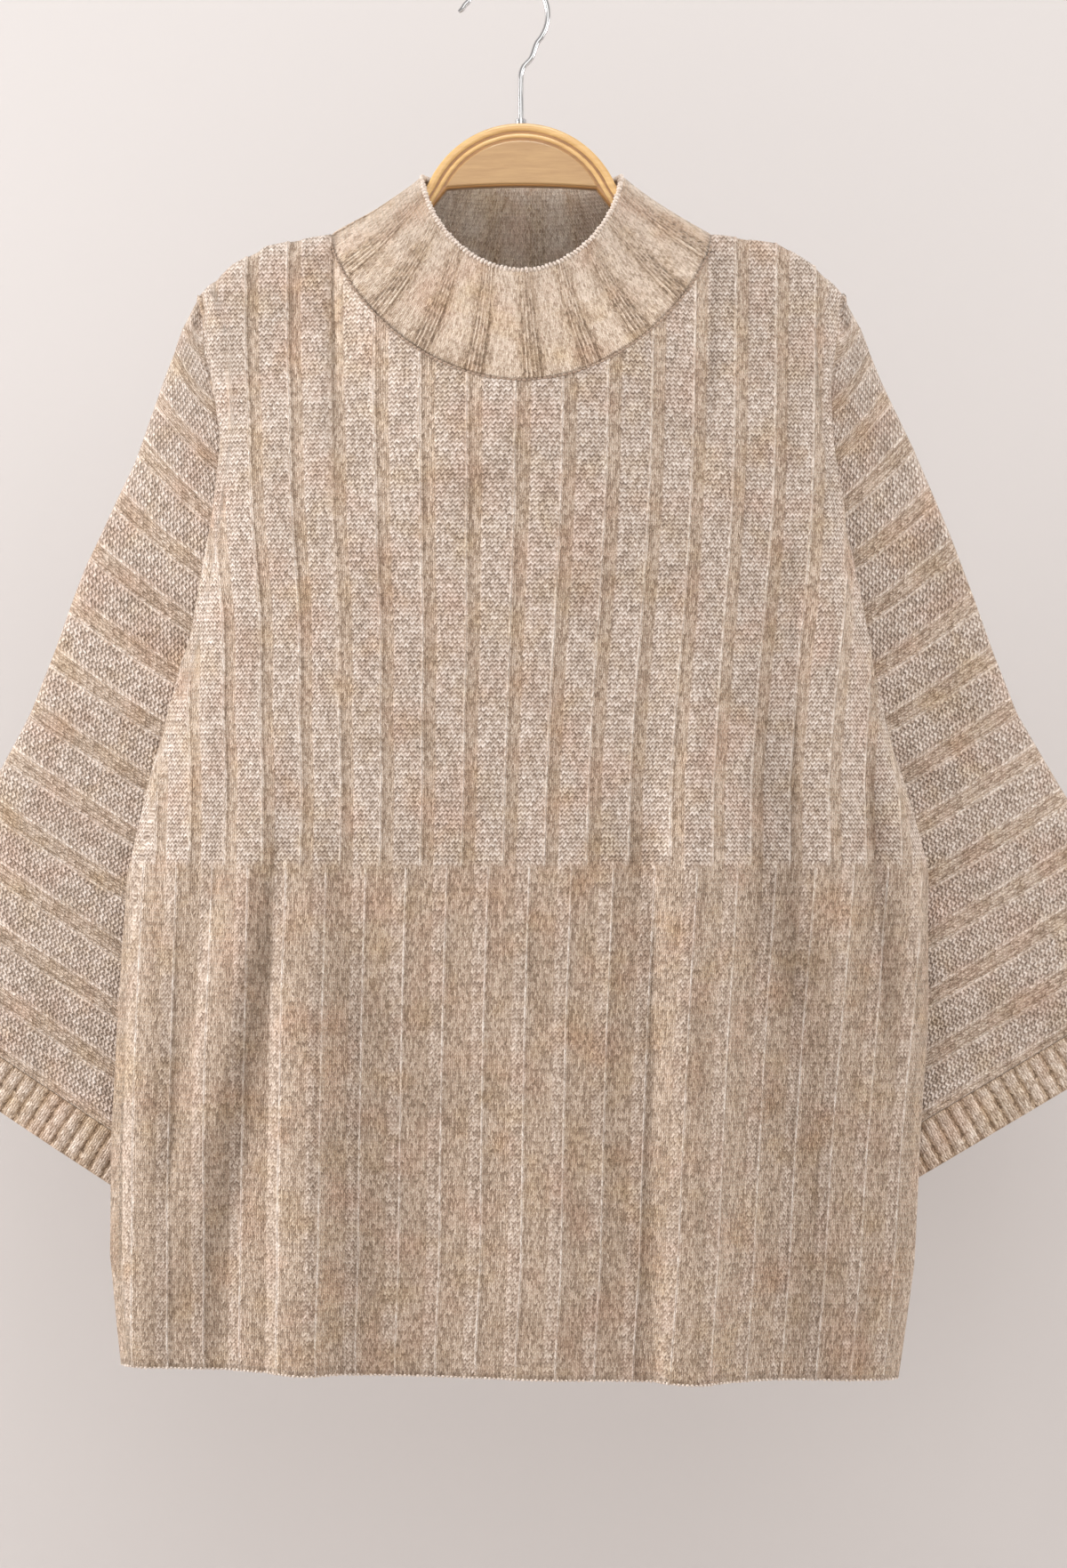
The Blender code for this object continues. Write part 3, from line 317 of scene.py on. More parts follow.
def sleeve_line(face, sign, strip, across):
    """One line across the sleeve: the turn from the body, and the points at the shares across."""
    outer = along(OVER[sign][3:], np.interp(strip, *zip(*FAN)))
    middle, half = (float(np.interp(strip, DEPTHS["strip"], DEPTHS[n]))
                    for n in ("middle", "front" if face < 0 else "back"))
    turn_points, closing = [], 1.0
    if strip <= STRIPS_TO_ARMPIT:
        share = strip / STRIPS_TO_ARMPIT
        z = CORNER[1] + (ARMPIT[1] - CORNER[1]) * share
        edge = side_fold(face, sign, z)
        closing = smooth((share - CLOSES_FROM) / (1.0 - CLOSES_FROM))
        inner_depth = middle + face * half * (1.0 - closing)
        fold_depth = body_point(face, sign * edge, z, CORNER[1], 0.0, at_level(SIDES[sign], z))[1]
        if face < 0:
            tuck = smooth(share * 1.7)
            inner = edge + FOLD_TO_SLEEVE * (1.0 - tuck) + (ARMPIT[0] - edge) * tuck
            turn = edge * TURN_PLACE + inner * (1.0 - TURN_PLACE) + TURN_TUCK * tuck
            turn_depth = fold_depth * TURN_DEPTH + inner_depth * (1.0 - TURN_DEPTH)
        else:
            inner = edge + FOLD_TO_SLEEVE + FOLD_OPENING * share
            turn, turn_depth = (edge + inner) * 0.5, (fold_depth + inner_depth) * 0.5
        if strip == STRIPS_TO_ARMPIT:
            inner, inner_depth = ARMPIT[0], middle
        turn_points = [(edge, fold_depth, z), (turn, turn_depth, z)]
        start = np.array([inner, z])
    else:
        share = (strip - STRIPS_TO_ARMPIT) / (STRIPS - STRIPS_TO_ARMPIT)
        start = np.array(ARMPIT) + (np.array(CUFF_INNER[SIDES[sign]]) - np.array(ARMPIT)) * share
    points = []
    for a in across:
        place = start + (outer - start) * a
        place[1] -= SLEEVE_SAG * math.sin(math.pi * a) * (1.0 - strip / STRIPS)
        rounded = (1.0 - a ** OVERARM_ROUND) * (1.0 - (1.0 - a) ** UNDERARM_ROUND * closing)
        points.append((place[0], middle + face * half * math.sqrt(max(rounded, 0.0)), place[1]))
    flip = np.array([sign, 1.0, 1.0])
    return [np.array(p) * flip for p in turn_points], [np.array(p) * flip for p in points]


print("sleeve end, left:", sleeve_line(-1, -1, STRIPS, (0.0, 1.0))[1])

# %% The neckline and the collar's top
def neck_point(angle):
    """Neckline seam: angle 0 at the right shoulder, 90 degrees at the back."""
    across, deep = math.cos(angle), math.sin(angle)
    if deep >= 0.0:
        depth, drop = NECK_BACK_DEPTH * deep, NECK_BACK_DROP * deep
    else:
        depth, drop = NECK_FRONT_DEPTH * deep, NECK_FRONT_DROP * (-deep) ** NECK_DIP
    return np.array([NECK_HALF * across, depth, NECK_Z - drop])


def top_point(angle):
    """The collar's top edge, by the same angle."""
    across, deep = math.cos(angle), math.sin(angle)
    if deep >= 0.0:
        depth, drop = TOP_BACK_DEPTH * deep, -TOP_BACK_RISE * deep
    else:
        depth, drop = TOP_FRONT_DEPTH * deep, TOP_FRONT_DROP * (-deep) ** TOP_DIP
    return np.array([TOP_HALF * across, depth, TOP_Z - drop])


def top_edge(face, x):
    """Height and depth of a panel's top edge: the neckline, then the shoulder."""
    if abs(x) >= NECK_HALF - 1e-6:
        line = OVER[-1 if x < 0 else 1][:4]
        return float(np.interp(abs(x), line[:, 0], line[:, 1])), 0.0
    angle = math.acos(x / NECK_HALF)
    edge = neck_point(angle if face > 0 else -angle)
    return edge[2], abs(edge[1])

# %% [markdown]
# ## How a band is knitted
# Each band of the body is a wide raised strip of purl stitches, whose little bumps lie in waves,
# then one raised column of knit stitches with a painted highlight, then a sunk tan strip with painted
# shade at its edges. Below the change line the raised strip is narrow and the smooth strip wide, and
# the smooth strip is painted a little darker all over. The sleeve's bands have a raised column with a
# painted highlight on both sides. Each profile below is a list of (place in the band, height, purl,
# painted highlight, painted shade).

# %% Band profiles
PROFILE_COLUMNS = ("place", "height", "purl", "painted_highlight", "painted_shade")
UPPER_BAND = (
    (0.00, 0.10, 0.0, 0.05, 0.0),
    (0.09, 0.00, 0.0, 0.0, 0.1),
    (0.14, 0.15, 0.2, 0.0, 0.5),
    (0.19, 0.80, 1.0, 0.0, 0.0),
    (0.34, 1.05, 1.0, 0.0, 0.0),
    (0.50, 1.10, 1.0, 0.0, 0.0),
    (0.66, 1.05, 1.0, 0.0, 0.0),
    (0.79, 0.95, 1.0, 0.0, 0.0),
    (0.84, 1.60, 0.0, 1.0, 0.0),
    (0.89, 0.25, 0.0, 0.1, 0.7),
)
LOWER_BAND = (
    (0.00, 0.35, 0.0, 0.0, 0.4),
    (0.09, 0.30, 0.0, 0.0, 0.4),
    (0.14, 0.20, 0.1, 0.0, 0.6),
    (0.19, 0.65, 0.6, 0.0, 0.25),
    (0.31, 0.85, 0.6, 0.0, 0.25),
    (0.43, 0.50, 0.6, 0.0, 0.8),
    (0.48, 1.45, 0.0, 1.0, 0.0),
    (0.53, 0.35, 0.0, 0.1, 0.5),
    (0.68, 0.40, 0.0, 0.0, 0.4),
    (0.84, 0.40, 0.0, 0.0, 0.4),
)
SLEEVE_BAND = (
    (0.00, 0.30, 0.0, 0.0, 0.15),
    (0.05, 0.55, 0.0, 0.2, 0.0),
    (0.11, 0.30, 0.0, 0.0, 0.3),
    (0.16, 1.15, 0.0, 0.8, 0.0),
    (0.22, 0.85, 1.0, 0.0, 0.0),
    (0.38, 1.05, 1.0, 0.0, 0.0),
    (0.60, 1.05, 1.0, 0.0, 0.0),
    (0.77, 0.90, 1.0, 0.0, 0.0),
    (0.83, 1.20, 0.0, 0.8, 0.0),
    (0.88, 0.30, 0.0, 0.0, 0.3),
    (0.94, 0.50, 0.0, 0.2, 0.0),
)


def profile(table, place):
    """Height, purl, painted highlight and painted shade at a place in a band, which repeats."""
    places = [row[0] for row in table] + [1.0]
    return [float(np.interp(place % 1.0, places, [row[k] for row in table] + [table[0][k]]))
            for k in range(1, 5)]


print("bright column stands", profile(UPPER_BAND, 0.84)[0] * RIB, "mm proud")

# %% [markdown]
# ## A surface made of lines of points
# Cloth on a body is easiest to build as rows. Each row has marks, such as its band edges, and two
# rows are stitched by walking along both and joining the marks that belong together. Where a row
# has a point more than its neighbour, the stitching makes a triangle there.

# %% Lines into a surface
TINY = 1e-6
PLAIN = (0.0, 0.0, 0.0, 0.0)   # height, purl, painted highlight and painted shade of plain cloth
# The yarn reads the purl, the painted highlight and the painted shade from these attributes.
KNIT_KINDS = ("purl", "painted_highlight", "painted_shade")


class Cloth:
    """Points with their place in the stitch pattern, and the faces between lines of them."""

    def __init__(self):
        self.points, self.knit, self.maps, self.faces, self.kinds = [], [], [], [], []

    def add(self, point, knit, body_map, sleeve_map=None):
        """Adds a point with its four knit values, and gives its number."""
        self.points.append(point)
        self.knit.append(knit)
        self.maps.append((body_map, sleeve_map or body_map))
        return len(self.points) - 1

    def stitch(self, low, high, kind=0):
        """Faces between two lines of (mark, point). kind says which of the two maps they use."""
        i = j = 0
        while i < len(low) - 1 or j < len(high) - 1:
            more_low, more_high = i < len(low) - 1, j < len(high) - 1
            if more_low and more_high and abs(low[i + 1][0] - high[j + 1][0]) < TINY:
                self.faces.append((low[i][1], low[i + 1][1], high[j + 1][1], high[j][1]))
                i, j = i + 1, j + 1
            elif more_low and (not more_high or low[i + 1][0] < high[j + 1][0]):
                self.faces.append((low[i][1], low[i + 1][1], high[j][1]))
                i += 1
            else:
                self.faces.append((low[i][1], high[j + 1][1], high[j][1]))
                j += 1
            self.kinds.append(kind)


def normals_of(points, faces):
    """Area-weighted normals at the points."""
    points = np.asarray(points)
    total = np.zeros_like(points)
    for size in (3, 4):
        some = np.array([f for f in faces if len(f) == size])
        if len(some):
            a = points[some[:, 2]] - points[some[:, 0]]
            b = points[some[:, -1]] - points[some[:, 1]]
            for k in range(size):
                np.add.at(total, some[:, k], np.cross(a, b))
    length = np.linalg.norm(total, axis=1)
    return total / np.maximum(length, 1e-9)[:, None]

# %% [markdown]
# ## Marks along a row
# Rows of the body carry one mark for each line of a band's profile. The last mark before the side
# fold is numbered 50, the turn goes up to 53, and the sleeve's own points follow from there, one
# for each share of the way across the sleeve.

# %% Marks of a row
END_MARK, SLEEVE_MARK = 50.0, 53.0
ACROSS = (0.0, 0.015, 0.035, 0.065, 0.11, 0.17, 0.24, 0.31, 0.38, 0.45, 0.52, 0.59, 0.66, 0.73,
          0.79, 0.85, 0.90, 0.94, 0.965, 0.982, 0.993, 1.0)
MOST_BANDS = 14           # more bands than half a row ever has
END_GAP = 1.2             # no mark lies closer than this to the row's end
MARK_GAP = 0.03           # nor closer than this, in bands, to the mark of the neck's corner
OPENS_OVER = 24.0         # below the armpit the back's reach opens out over this height
NECK_SEARCH = (400, 60)   # marks that are tried for the neck's corner, without those in the middle


def row_spread(sign, level):
    """Width of a band of the row at this level, on one side."""
    pitch = at_level(SIDES[sign], level) / at_level("bands", level)
    near = smooth((level - ARMPIT[1]) / (CORNER[1] - ARMPIT[1]))
    return pitch + (CORNER[0] / CORNER_BANDS - pitch) * near


def row_reach(face, sign, level):
    """Distance from the centre to the last mark before the side fold or the side seam."""
    if level >= ARMPIT[1] or face < 0:
        return side_fold(face, sign, level) - FOLD_END
    open_out = smooth((ARMPIT[1] - level) / OPENS_OVER)
    armpit_edge = side_fold(face, sign, ARMPIT[1])
    edge = at_level(SIDES[sign], level) - at_level("wrap", level)
    return armpit_edge + (edge - armpit_edge) * open_out - FOLD_END


def neck_mark(sign):
    """The mark that lies at the neck's corner."""
    tried, first = NECK_SEARCH
    marks = np.linspace(0.0, CORNER_BANDS, tried)[first:] * sign
    places = [abs(band_place(m, CORNER[1], CORNER[0] / CORNER_BANDS)) for m in marks]
    return float(np.interp(NECK_HALF, places, marks))


NECK_MARKS = {sign: neck_mark(sign) for sign in SIDES}


def row_marks(face, level, table):
    """(mark, distance from the centre) of the points of a row between its side folds."""
    reach = {s: row_reach(face, s, level) for s in SIDES}
    marks = []
    for band in range(-MOST_BANDS, MOST_BANDS):
        for row in table:
            mark = BODY_RECESS + band + row[0]
            place = band_place(mark, level, row_spread(-1 if mark < 0 else 1, level))
            if END_GAP - reach[-1] < place < reach[1] - END_GAP:
                marks.append((mark, place))
    if level > ARMPIT[1]:
        for sign, neck in NECK_MARKS.items():
            marks = [m for m in marks if abs(m[0] - neck) > MARK_GAP]
            marks.append((neck, band_place(neck, level, row_spread(sign, level))))
        marks.sort()
    return [(-END_MARK, -reach[-1])] + marks + [(END_MARK, reach[1])]


print(len(row_marks(-1, -600.0, LOWER_BAND)), "points across the body at its widest")

# %% [markdown]
# ## The panels
# Front and back are knitted in one piece with their half sleeves. A row above the armpit runs from
# one overarm fold, across the sleeve, round the turn into the body and out again. Below the armpit
# the rows end at the side seams and the sleeves go on with lines of their own.

# %% One panel's surface
TOP_GAPS = (0.0, 0.6, 1.6, 3.2, 5.4, 8.4, 12.2, 17.0, 23.0, 29.5)   # first rows, down from the top
FIRST_LINE = 1.0          # strip of the first whole line across the sleeve
LOWER_STEP = 5.0          # height of a row of the body below the armpit
TURN_STEPS = 4            # points between two marks of the turn
TURN_BAND = 24.0          # width of a band of the turn's stitch map
BEHIND = 0.38             # share of the side seam's wrap where the turn passes behind the fold
FOLD_FORWARD = 1.0        # the side fold lies this far in front of the middle between its neighbours
BACK_TURN = (0.34, 0.67)  # the back's turn runs straight to the seam, with points at these shares
FADE_POINTS = 3.0         # a sleeve's bands fade out over this many points at a fold
BODY_MAP, SLEEVE_MAP = 0, 1


def upper_plan():
    """Sleeve strip of each row from the shoulder corner down to the armpit."""
    per_strip = (CORNER[1] - ARMPIT[1]) / STRIPS_TO_ARMPIT
    plan = [gap / per_strip for gap in TOP_GAPS]
    plan += [n + row[0] for n in range(1, STRIPS_TO_ARMPIT) for row in SLEEVE_BAND]
    return plan + [float(STRIPS_TO_ARMPIT)]


def tail_points(face, sign, strip):
    """The turn and the sleeve's points of a row above the armpit."""
    if strip >= FIRST_LINE:
        return sleeve_line(face, sign, strip, ACROSS)
    corner = np.array([sign * CORNER[0], 0.0, CORNER[1]])
    parts = sleeve_line(face, sign, FIRST_LINE, ACROSS)
    share = strip / FIRST_LINE
    return [[corner + (p - corner) * share for p in part] for part in parts]


def sway(x, z):
    """Cloth is never quite even: a few slow waves under half a millimetre."""
    return (0.22 * math.sin(x * 0.071 + z * 0.013) + 0.18 * math.sin(x * 0.031 - z * 0.047 + 2.0)
            + 0.12 * math.sin(x * 0.19 + z * 0.029 + 1.0))


def add_body_row(cloth, face, level, share_up, table):
    """The row's points between the side folds. share_up is 1 at the top edge and 0 at the armpit;
    a row further down has none."""
    row = []
    for mark, x in row_marks(face, level, table):
        sign = -1 if x < 0.0 else 1
        if share_up == 1.0 and abs(abs(mark) - abs(NECK_MARKS[sign])) < TINY:
            x = sign * NECK_HALF
        top_z, top_depth = (NECK_Z, 0.0) if share_up <= 0.0 else top_edge(face, x)
        z = level if share_up <= 0.0 else ARMPIT[1] + (top_z - ARMPIT[1]) * share_up
        point = body_point(face, x, z, top_z, top_depth, at_level(SIDES[sign], level))
        point[2] += hem_slope(x, z)
        bands = mark if abs(mark) < END_MARK else sign * (abs(x) / row_spread(sign, level))
        knit = PLAIN if share_up == 1.0 else profile(table, bands - BODY_RECESS)
        row.append((mark, cloth.add(point, knit, ((bands - BODY_RECESS) * WALE, z / ROW))))
    return row


def add_turn(cloth, row, sign, points, table, sleeve_map=None):
    """Adds the turn after a row's end. A sleeve goes on from its last point, which lies there in
    the sleeve's stitch map too."""
    start = row[-1] if sign > 0 else row[0]
    here = cloth.points[start[1]]
    bands = cloth.maps[start[1]][BODY_MAP][0] / WALE
    curve = curve_through([here] + points, TURN_STEPS)[1:]
    tail = []
    for k, point in enumerate(curve):
        bands += sign * float(np.linalg.norm((point - here)[:2])) / TURN_BAND
        here = point
        fade = 1.0 - smooth(k / (len(curve) - 2.0))
        height, purl, painted_highlight, painted_shade = profile(table, bands)
        meets = sleeve_map is not None and k == len(curve) - 1
        knit = PLAIN if meets else (height * fade, purl, painted_highlight * fade, painted_shade)
        tail.append((sign * (END_MARK + (k + 1) / TURN_STEPS),
                     cloth.add(point, knit, (bands * WALE, point[2] / ROW),
                               sleeve_map if meets else None)))
    return tail


def add_sleeve_points(cloth, line, strip, first):
    """Adds the points of a line across the sleeve, from number first on."""
    run = run_along(line)
    height, *stitches = profile(SLEEVE_BAND, strip)
    added = []
    for k in range(first, len(ACROSS)):
        fade = smooth((k - first) / FADE_POINTS) * smooth((len(ACROSS) - 1 - k) / FADE_POINTS)
        knit = [height * fade if strip >= FIRST_LINE else 0.0] + stitches
        added.append((SLEEVE_MARK + k, cloth.add(line[k], knit, (strip * WALE, run[k] / ROW))))
    return added


def upper_rows(cloth, face):
    """The rows from the shoulders to the armpits. Gives the last one, and its two sleeve ends."""
    corners = {s: cloth.add(np.array([s * CORNER[0], 0.0, CORNER[1]]), PLAIN,
                            (s * CORNER_BANDS * WALE, CORNER[1] / ROW), (0.0, 0.0)) for s in SIDES}
    rows = []
    for strip in upper_plan():
        down = strip / STRIPS_TO_ARMPIT
        level = CORNER[1] + (ARMPIT[1] - CORNER[1]) * strip / STRIPS_TO_ARMPIT
        row = add_body_row(cloth, face, level, 1.0 - down, UPPER_BAND)
        tails = {s: [(s * (END_MARK + 1.0), corners[s])] for s in SIDES}
        for sign in SIDES if strip > 0.0 else ():
            turn, line = tail_points(face, sign, strip)
            tails[sign] = add_turn(cloth, row, sign, turn + line[:1], UPPER_BAND, (strip * WALE, 0.0))
            tails[sign] += [(sign * m, v) for m, v in add_sleeve_points(cloth, line, strip, 1)]
        rows.append(sorted(tails[-1]) + row + tails[1])
    parts = ((BODY_MAP, lambda m: abs(m) <= SLEEVE_MARK), (SLEEVE_MAP, lambda m: m >= SLEEVE_MARK),
             (SLEEVE_MAP, lambda m: m <= -SLEEVE_MARK))
    for high, low in zip(rows, rows[1:]):
        for kind, keep in parts:
            a, b = [p for p in low if keep(p[0])], [p for p in high if keep(p[0])]
            if kind == SLEEVE_MAP and not b:
                b = [high[-1] if a[0][0] > 0 else high[0]]
            if len(a) > 1 or len(b) > 1:
                cloth.stitch(a, b, kind)
    return rows[-1], {s: [(abs(m), v) for m, v in tails[s] if abs(m) >= SLEEVE_MARK] for s in SIDES}


def lower_rows(cloth, face, last):
    """The body's rows from the armpits to the hem, out to the side seams. Gives the hem's points."""
    count = int(round((ARMPIT[1] - HEM_Z) / LOWER_STEP))
    for k in range(1, count + 1):
        level = ARMPIT[1] + (HEM_Z - ARMPIT[1]) * k / count
        table = UPPER_BAND if level > CHANGE_Z else LOWER_BAND
        row = add_body_row(cloth, face, level, -1.0, table)
        ends = {}
        for sign in SIDES:
            edge, wrap = at_level(SIDES[sign], level), at_level("wrap", level)
            seam = body_point(1, sign * (edge - wrap), level, NECK_Z, 0.0, edge)
            start = cloth.points[(row[-1] if sign > 0 else row[0])[1]]
            if face < 0:
                behind = body_point(1, sign * (edge - wrap * BEHIND), level, NECK_Z, 0.0, edge)
                fold_depth = (behind[1] + start[1]) * 0.5 - FOLD_FORWARD
                points = [np.array([sign * edge, fold_depth, level]), behind, seam]
            else:
                points = [start + (seam - start) * t for t in BACK_TURN] + [seam]
            for point in points:
                point[2] = level + hem_slope(point[0], level)
            ends[sign] = add_turn(cloth, row, sign, points, table)
        full = sorted(ends[-1]) + row + ends[1]
        cloth.stitch(full, last)
        last = full
    return [v for _, v in last]


def sleeve_rows(cloth, face, sign, above):
    """The sleeve's lines from the armpit to its end."""
    strips = [n + row[0] for n in range(STRIPS_TO_ARMPIT, STRIPS) for row in SLEEVE_BAND][1:]
    for strip in strips + [float(STRIPS)]:
        below = add_sleeve_points(cloth, sleeve_line(face, sign, strip, ACROSS)[1], strip, 0)
        pair = [below, above]
        if sign < 0:
            pair = [[(-m, v) for m, v in reversed(line)] for line in pair]
        cloth.stitch(*pair, SLEEVE_MAP)
        above = below


def panel_cloth(face):
    cloth = Cloth()
    last, sleeves = upper_rows(cloth, face)
    cloth.hem = lower_rows(cloth, face, [p for p in last if abs(p[0]) <= SLEEVE_MARK])
    for sign in SIDES:
        sleeve_rows(cloth, face, sign, sleeves[sign])
    return cloth

# %% [markdown]
# ## From points to a knitted mesh
# The raised bands are real relief: every point moves out along its normal by its band's height.
# Then Solidify gives the wall its thickness towards the inside, which stays plain. The stitch
# coordinates go into a UV map (wales across, rows up), and the kind of stitch, with its painted
# highlight and painted shade, into attributes, so the yarn pattern follows the cloth wherever it bends.

# %% Mesh maker for knitted pieces
def link_mesh(name, points, faces):
    """A new object from points in millimetres about the sweater's own centre."""
    placed = np.array(points)
    placed[:, 0] += CENTRE_X
    mesh = bpy.data.meshes.new(name)
    mesh.from_pydata((placed / PER_METRE).tolist(), [], faces)
    piece = bpy.data.objects.new(name, mesh)
    bpy.context.scene.collection.objects.link(piece)
    return piece


def knit_piece(name, cloth, outward):
    """The cloth as a mesh, its bands raised to the side that faces outward."""
    points, faces = np.array(cloth.points), cloth.faces
    normals = normals_of(points, faces)
    if np.sum(normals @ np.asarray(outward, dtype=float)) < 0.0:
        normals, faces = -normals, [tuple(reversed(f)) for f in faces]
    knit = np.array(cloth.knit)
    lift = knit[:, 0] * RIB * RELIEF + np.array([sway(p[0], p[2]) for p in points])
    cloth.placed, cloth.normals = points + normals * lift[:, None], normals
    piece = link_mesh(name, cloth.placed, faces)
    mesh = piece.data
    kinds = np.repeat(np.array(cloth.kinds), [len(f) for f in faces])
    corner_points = np.array([v for f in faces for v in f])
    layer = mesh.uv_layers.new(name="stitches")
    layer.data.foreach_set("uv", np.array(cloth.maps)[corner_points, kinds].ravel())
    for k, attribute in enumerate(KNIT_KINDS, start=1):
        values = mesh.attributes.new(attribute, "FLOAT", "POINT")
        values.data.foreach_set("value", knit[:, k])
    mesh.validate()
    return piece


def select_only(piece):
    bpy.ops.object.select_all(action="DESELECT")
    bpy.context.view_layer.objects.active = piece
    piece.select_set(True)


def finish_wall(piece):
    """Solidify inwards, smooth shading, and both applied."""
    select_only(piece)
    shell = piece.modifiers.new("wall", "SOLIDIFY")
    shell.thickness, shell.offset = WALL / PER_METRE, -1.0
    bpy.ops.object.modifier_apply(modifier=shell.name)
    bpy.ops.object.shade_smooth()
    bpy.ops.object.select_all(action="DESELECT")
    return piece


def flat_area(piece):
    """Area of one side of a walled piece, in square metres."""
    return sum(p.area for p in piece.data.polygons) / 2.0

# %% Front and back
front_sheet, back_sheet = panel_cloth(-1), panel_cloth(1)
front = finish_wall(knit_piece("front_knit", front_sheet, (0.0, -1.0, 0.0)))
back = finish_wall(knit_piece("back_knit", back_sheet, (0.0, 1.0, 0.0)))
for piece in (front, back):
    tris = sum(len(p.vertices) - 2 for p in piece.data.polygons)
    print(piece.name, tris, "triangles, area", round(flat_area(piece), 4), "m2")

# %% [markdown]
# ## Collar
# The funnel neck is knitted as a tube. Its narrow ribs start at the seam and fade as the tube
# narrows, so between them wide smooth panels take over. The top is bound off with a soft round edge.

# %% Collar mesh
COLLAR_RIBS = 17
# Rib tops and panels carry a painted highlight, and the grooves between the ribs a painted shade.
COLLAR_PROFILE = (
    (0.00, 0.20, 0.0, 0.35, 0.0),
    (0.16, 0.25, 0.0, 0.35, 0.0),
    (0.29, 0.15, 0.0, 0.2, 0.3),
    (0.34, 0.0, 0.0, 0.0, 1.0),
    (0.37, 0.85, 0.0, 0.35, 0.0),
    (0.40, 0.35, 0.0, 0.0, 0.9),
    (0.435, 1.0, 0.0, 0.35, 0.0),
    (0.478, 0.45, 0.0, 0.0, 0.9),
    (0.52, 1.0, 0.0, 0.35, 0.0),
    (0.55, 0.35, 0.0, 0.0, 0.9),
    (0.58, 0.85, 0.0, 0.35, 0.0),
    (0.61, 0.0, 0.0, 0.0, 1.0),
    (0.67, 0.15, 0.0, 0.2, 0.3),
    (0.80, 0.25, 0.0, 0.35, 0.0),
)


COLLAR_HEIGHT, COLLAR_ROWS = 68.0, 22
COLLAR_FOOT = 0.004       # the first row starts just off the seam, at this share of the height
COLLAR_WAIST = 2.5        # the tube is drawn in this much at half height
COLLAR_WALES = 14.0       # wales of stitches in a rib
RIB_HEIGHT, RIB_STARTS, RIB_FADE, RIB_FADE_BY = 1.5, 18.0, 0.8, 1.1
RISE_UP, PALER_UP = 0.3, 0.12              # the cloth gains this much height and brightness upwards
GROOVE_SHADE, GROOVE_LEFT = 1.8, 0.35      # painted shade of the grooves between the ribs, and the share of it left at the top


def even_angles(curve, shares):
    """The angles at these shares of a closed curve's length, from angle 0."""
    angles = np.linspace(0.0, 2.0 * math.pi, 721)
    return along([curve(a) for a in angles], np.array(shares), angles[:, None])[0]


def rib_places(table, ribs):
    """Shares of the way round a tube for every line of its ribs, with the first once more."""
    return [(n + row[0]) / ribs for n in range(ribs) for row in table] + [1.0]


def ring_cloth(rows):
    """A tube from rows of (point, knit, map). The first column is doubled for a clean map seam."""
    cloth = Cloth()
    lines = [[(k, cloth.add(*given)) for k, given in enumerate(row)] for row in rows]
    for low, high in zip(lines, lines[1:]):
        cloth.stitch(low, high)
    return cloth


SAME_PLACE = 0.00002      # points closer than this, in metres, are one point


def edit_mesh(piece, change):
    """Runs a change on the mesh of a piece."""
    work = bmesh.new()
    work.from_mesh(piece.data)
    change(work)
    work.to_mesh(piece.data)
    work.free()
    return piece


def merge_seam(piece):
    """Joins the doubled column of a tube; the map keeps both values, because it is kept by face."""
    return edit_mesh(piece, lambda work: bmesh.ops.remove_doubles(work, verts=work.verts,
                                                                  dist=SAME_PLACE))


def collar_cloth():
    places = rib_places(COLLAR_PROFILE, COLLAR_RIBS)
    lows = [neck_point(a) for a in even_angles(neck_point, places)]
    highs = [top_point(a) for a in even_angles(top_point, places)]
    rows = []
    for share in [COLLAR_FOOT] + [k / COLLAR_ROWS for k in range(1, COLLAR_ROWS)] + [1.0]:
        fade = (1.0 - RIB_FADE * smooth(share * RIB_FADE_BY)) * smooth(share * RIB_STARTS)
        row = []
        for place, low, high in zip(places, lows, highs):
            point = low + (high - low) * share
            inwards = np.array([-point[0], -point[1], 0.0])
            inwards /= np.linalg.norm(inwards)
            point = point + inwards * COLLAR_WAIST * math.sin(math.pi * share)
            height, purl, painted_highlight, painted_shade = profile(COLLAR_PROFILE, place * COLLAR_RIBS)
            # Painted shade in the grooves between the ribs, fading upwards to a share of it.
            groove_shade = painted_shade * (GROOVE_LEFT + (1.0 - GROOVE_LEFT) * fade) * GROOVE_SHADE
            row.append((point, (height * fade * RIB_HEIGHT + RISE_UP * share, purl,
                                painted_highlight + PALER_UP * share, groove_shade),
                        (place * COLLAR_RIBS * COLLAR_WALES, share * COLLAR_HEIGHT / ROW)))
        rows.append(row)
    return ring_cloth(rows)


collar_sheet = collar_cloth()
collar = finish_wall(merge_seam(knit_piece("collar_knit", collar_sheet, (0.0, 0.0, 1.0))))
print("collar area", round(flat_area(collar), 4), "m2")

# %% [markdown]
# ## Cuffs
# Each sleeve ends in a short tube of narrow ribs, as wide as the sleeve and standing a little proud
# of it. The grooves between the ribs are painted dark as shade, and the rib tops get a painted
# highlight.

# %% Cuff meshes
CUFF_RIBS = 47
CUFF_LENGTH = 28.0
# Rib tops carry a painted highlight, and the grooves between them a painted shade.
CUFF_PROFILE = ((0.0, 0.0, 0.0, 0.0, 1.0), (0.08, 0.2, 0.0, 0.0, 0.9), (0.2, 0.9, 0.0, 0.5, 0.0),
                (0.5, 1.15, 0.0, 0.6, 0.0), (0.8, 0.9, 0.0, 0.5, 0.0), (0.92, 0.2, 0.0, 0.0, 0.9))
CUFF_ROWS = (0.0, 0.02, 0.12, 0.25, 0.4, 0.55, 0.7, 0.85, 0.95, 1.0)
CUFF_WALES = 3.0          # wales of stitches in a rib
CUFF_FLARE = 0.012        # the cuff is this share wider at its open end
FLATTER_FROM, FLATTER = 0.85, 0.4          # the ribs are lower towards the open end
END_POINTS = 60           # points across the sleeve's end, on each face


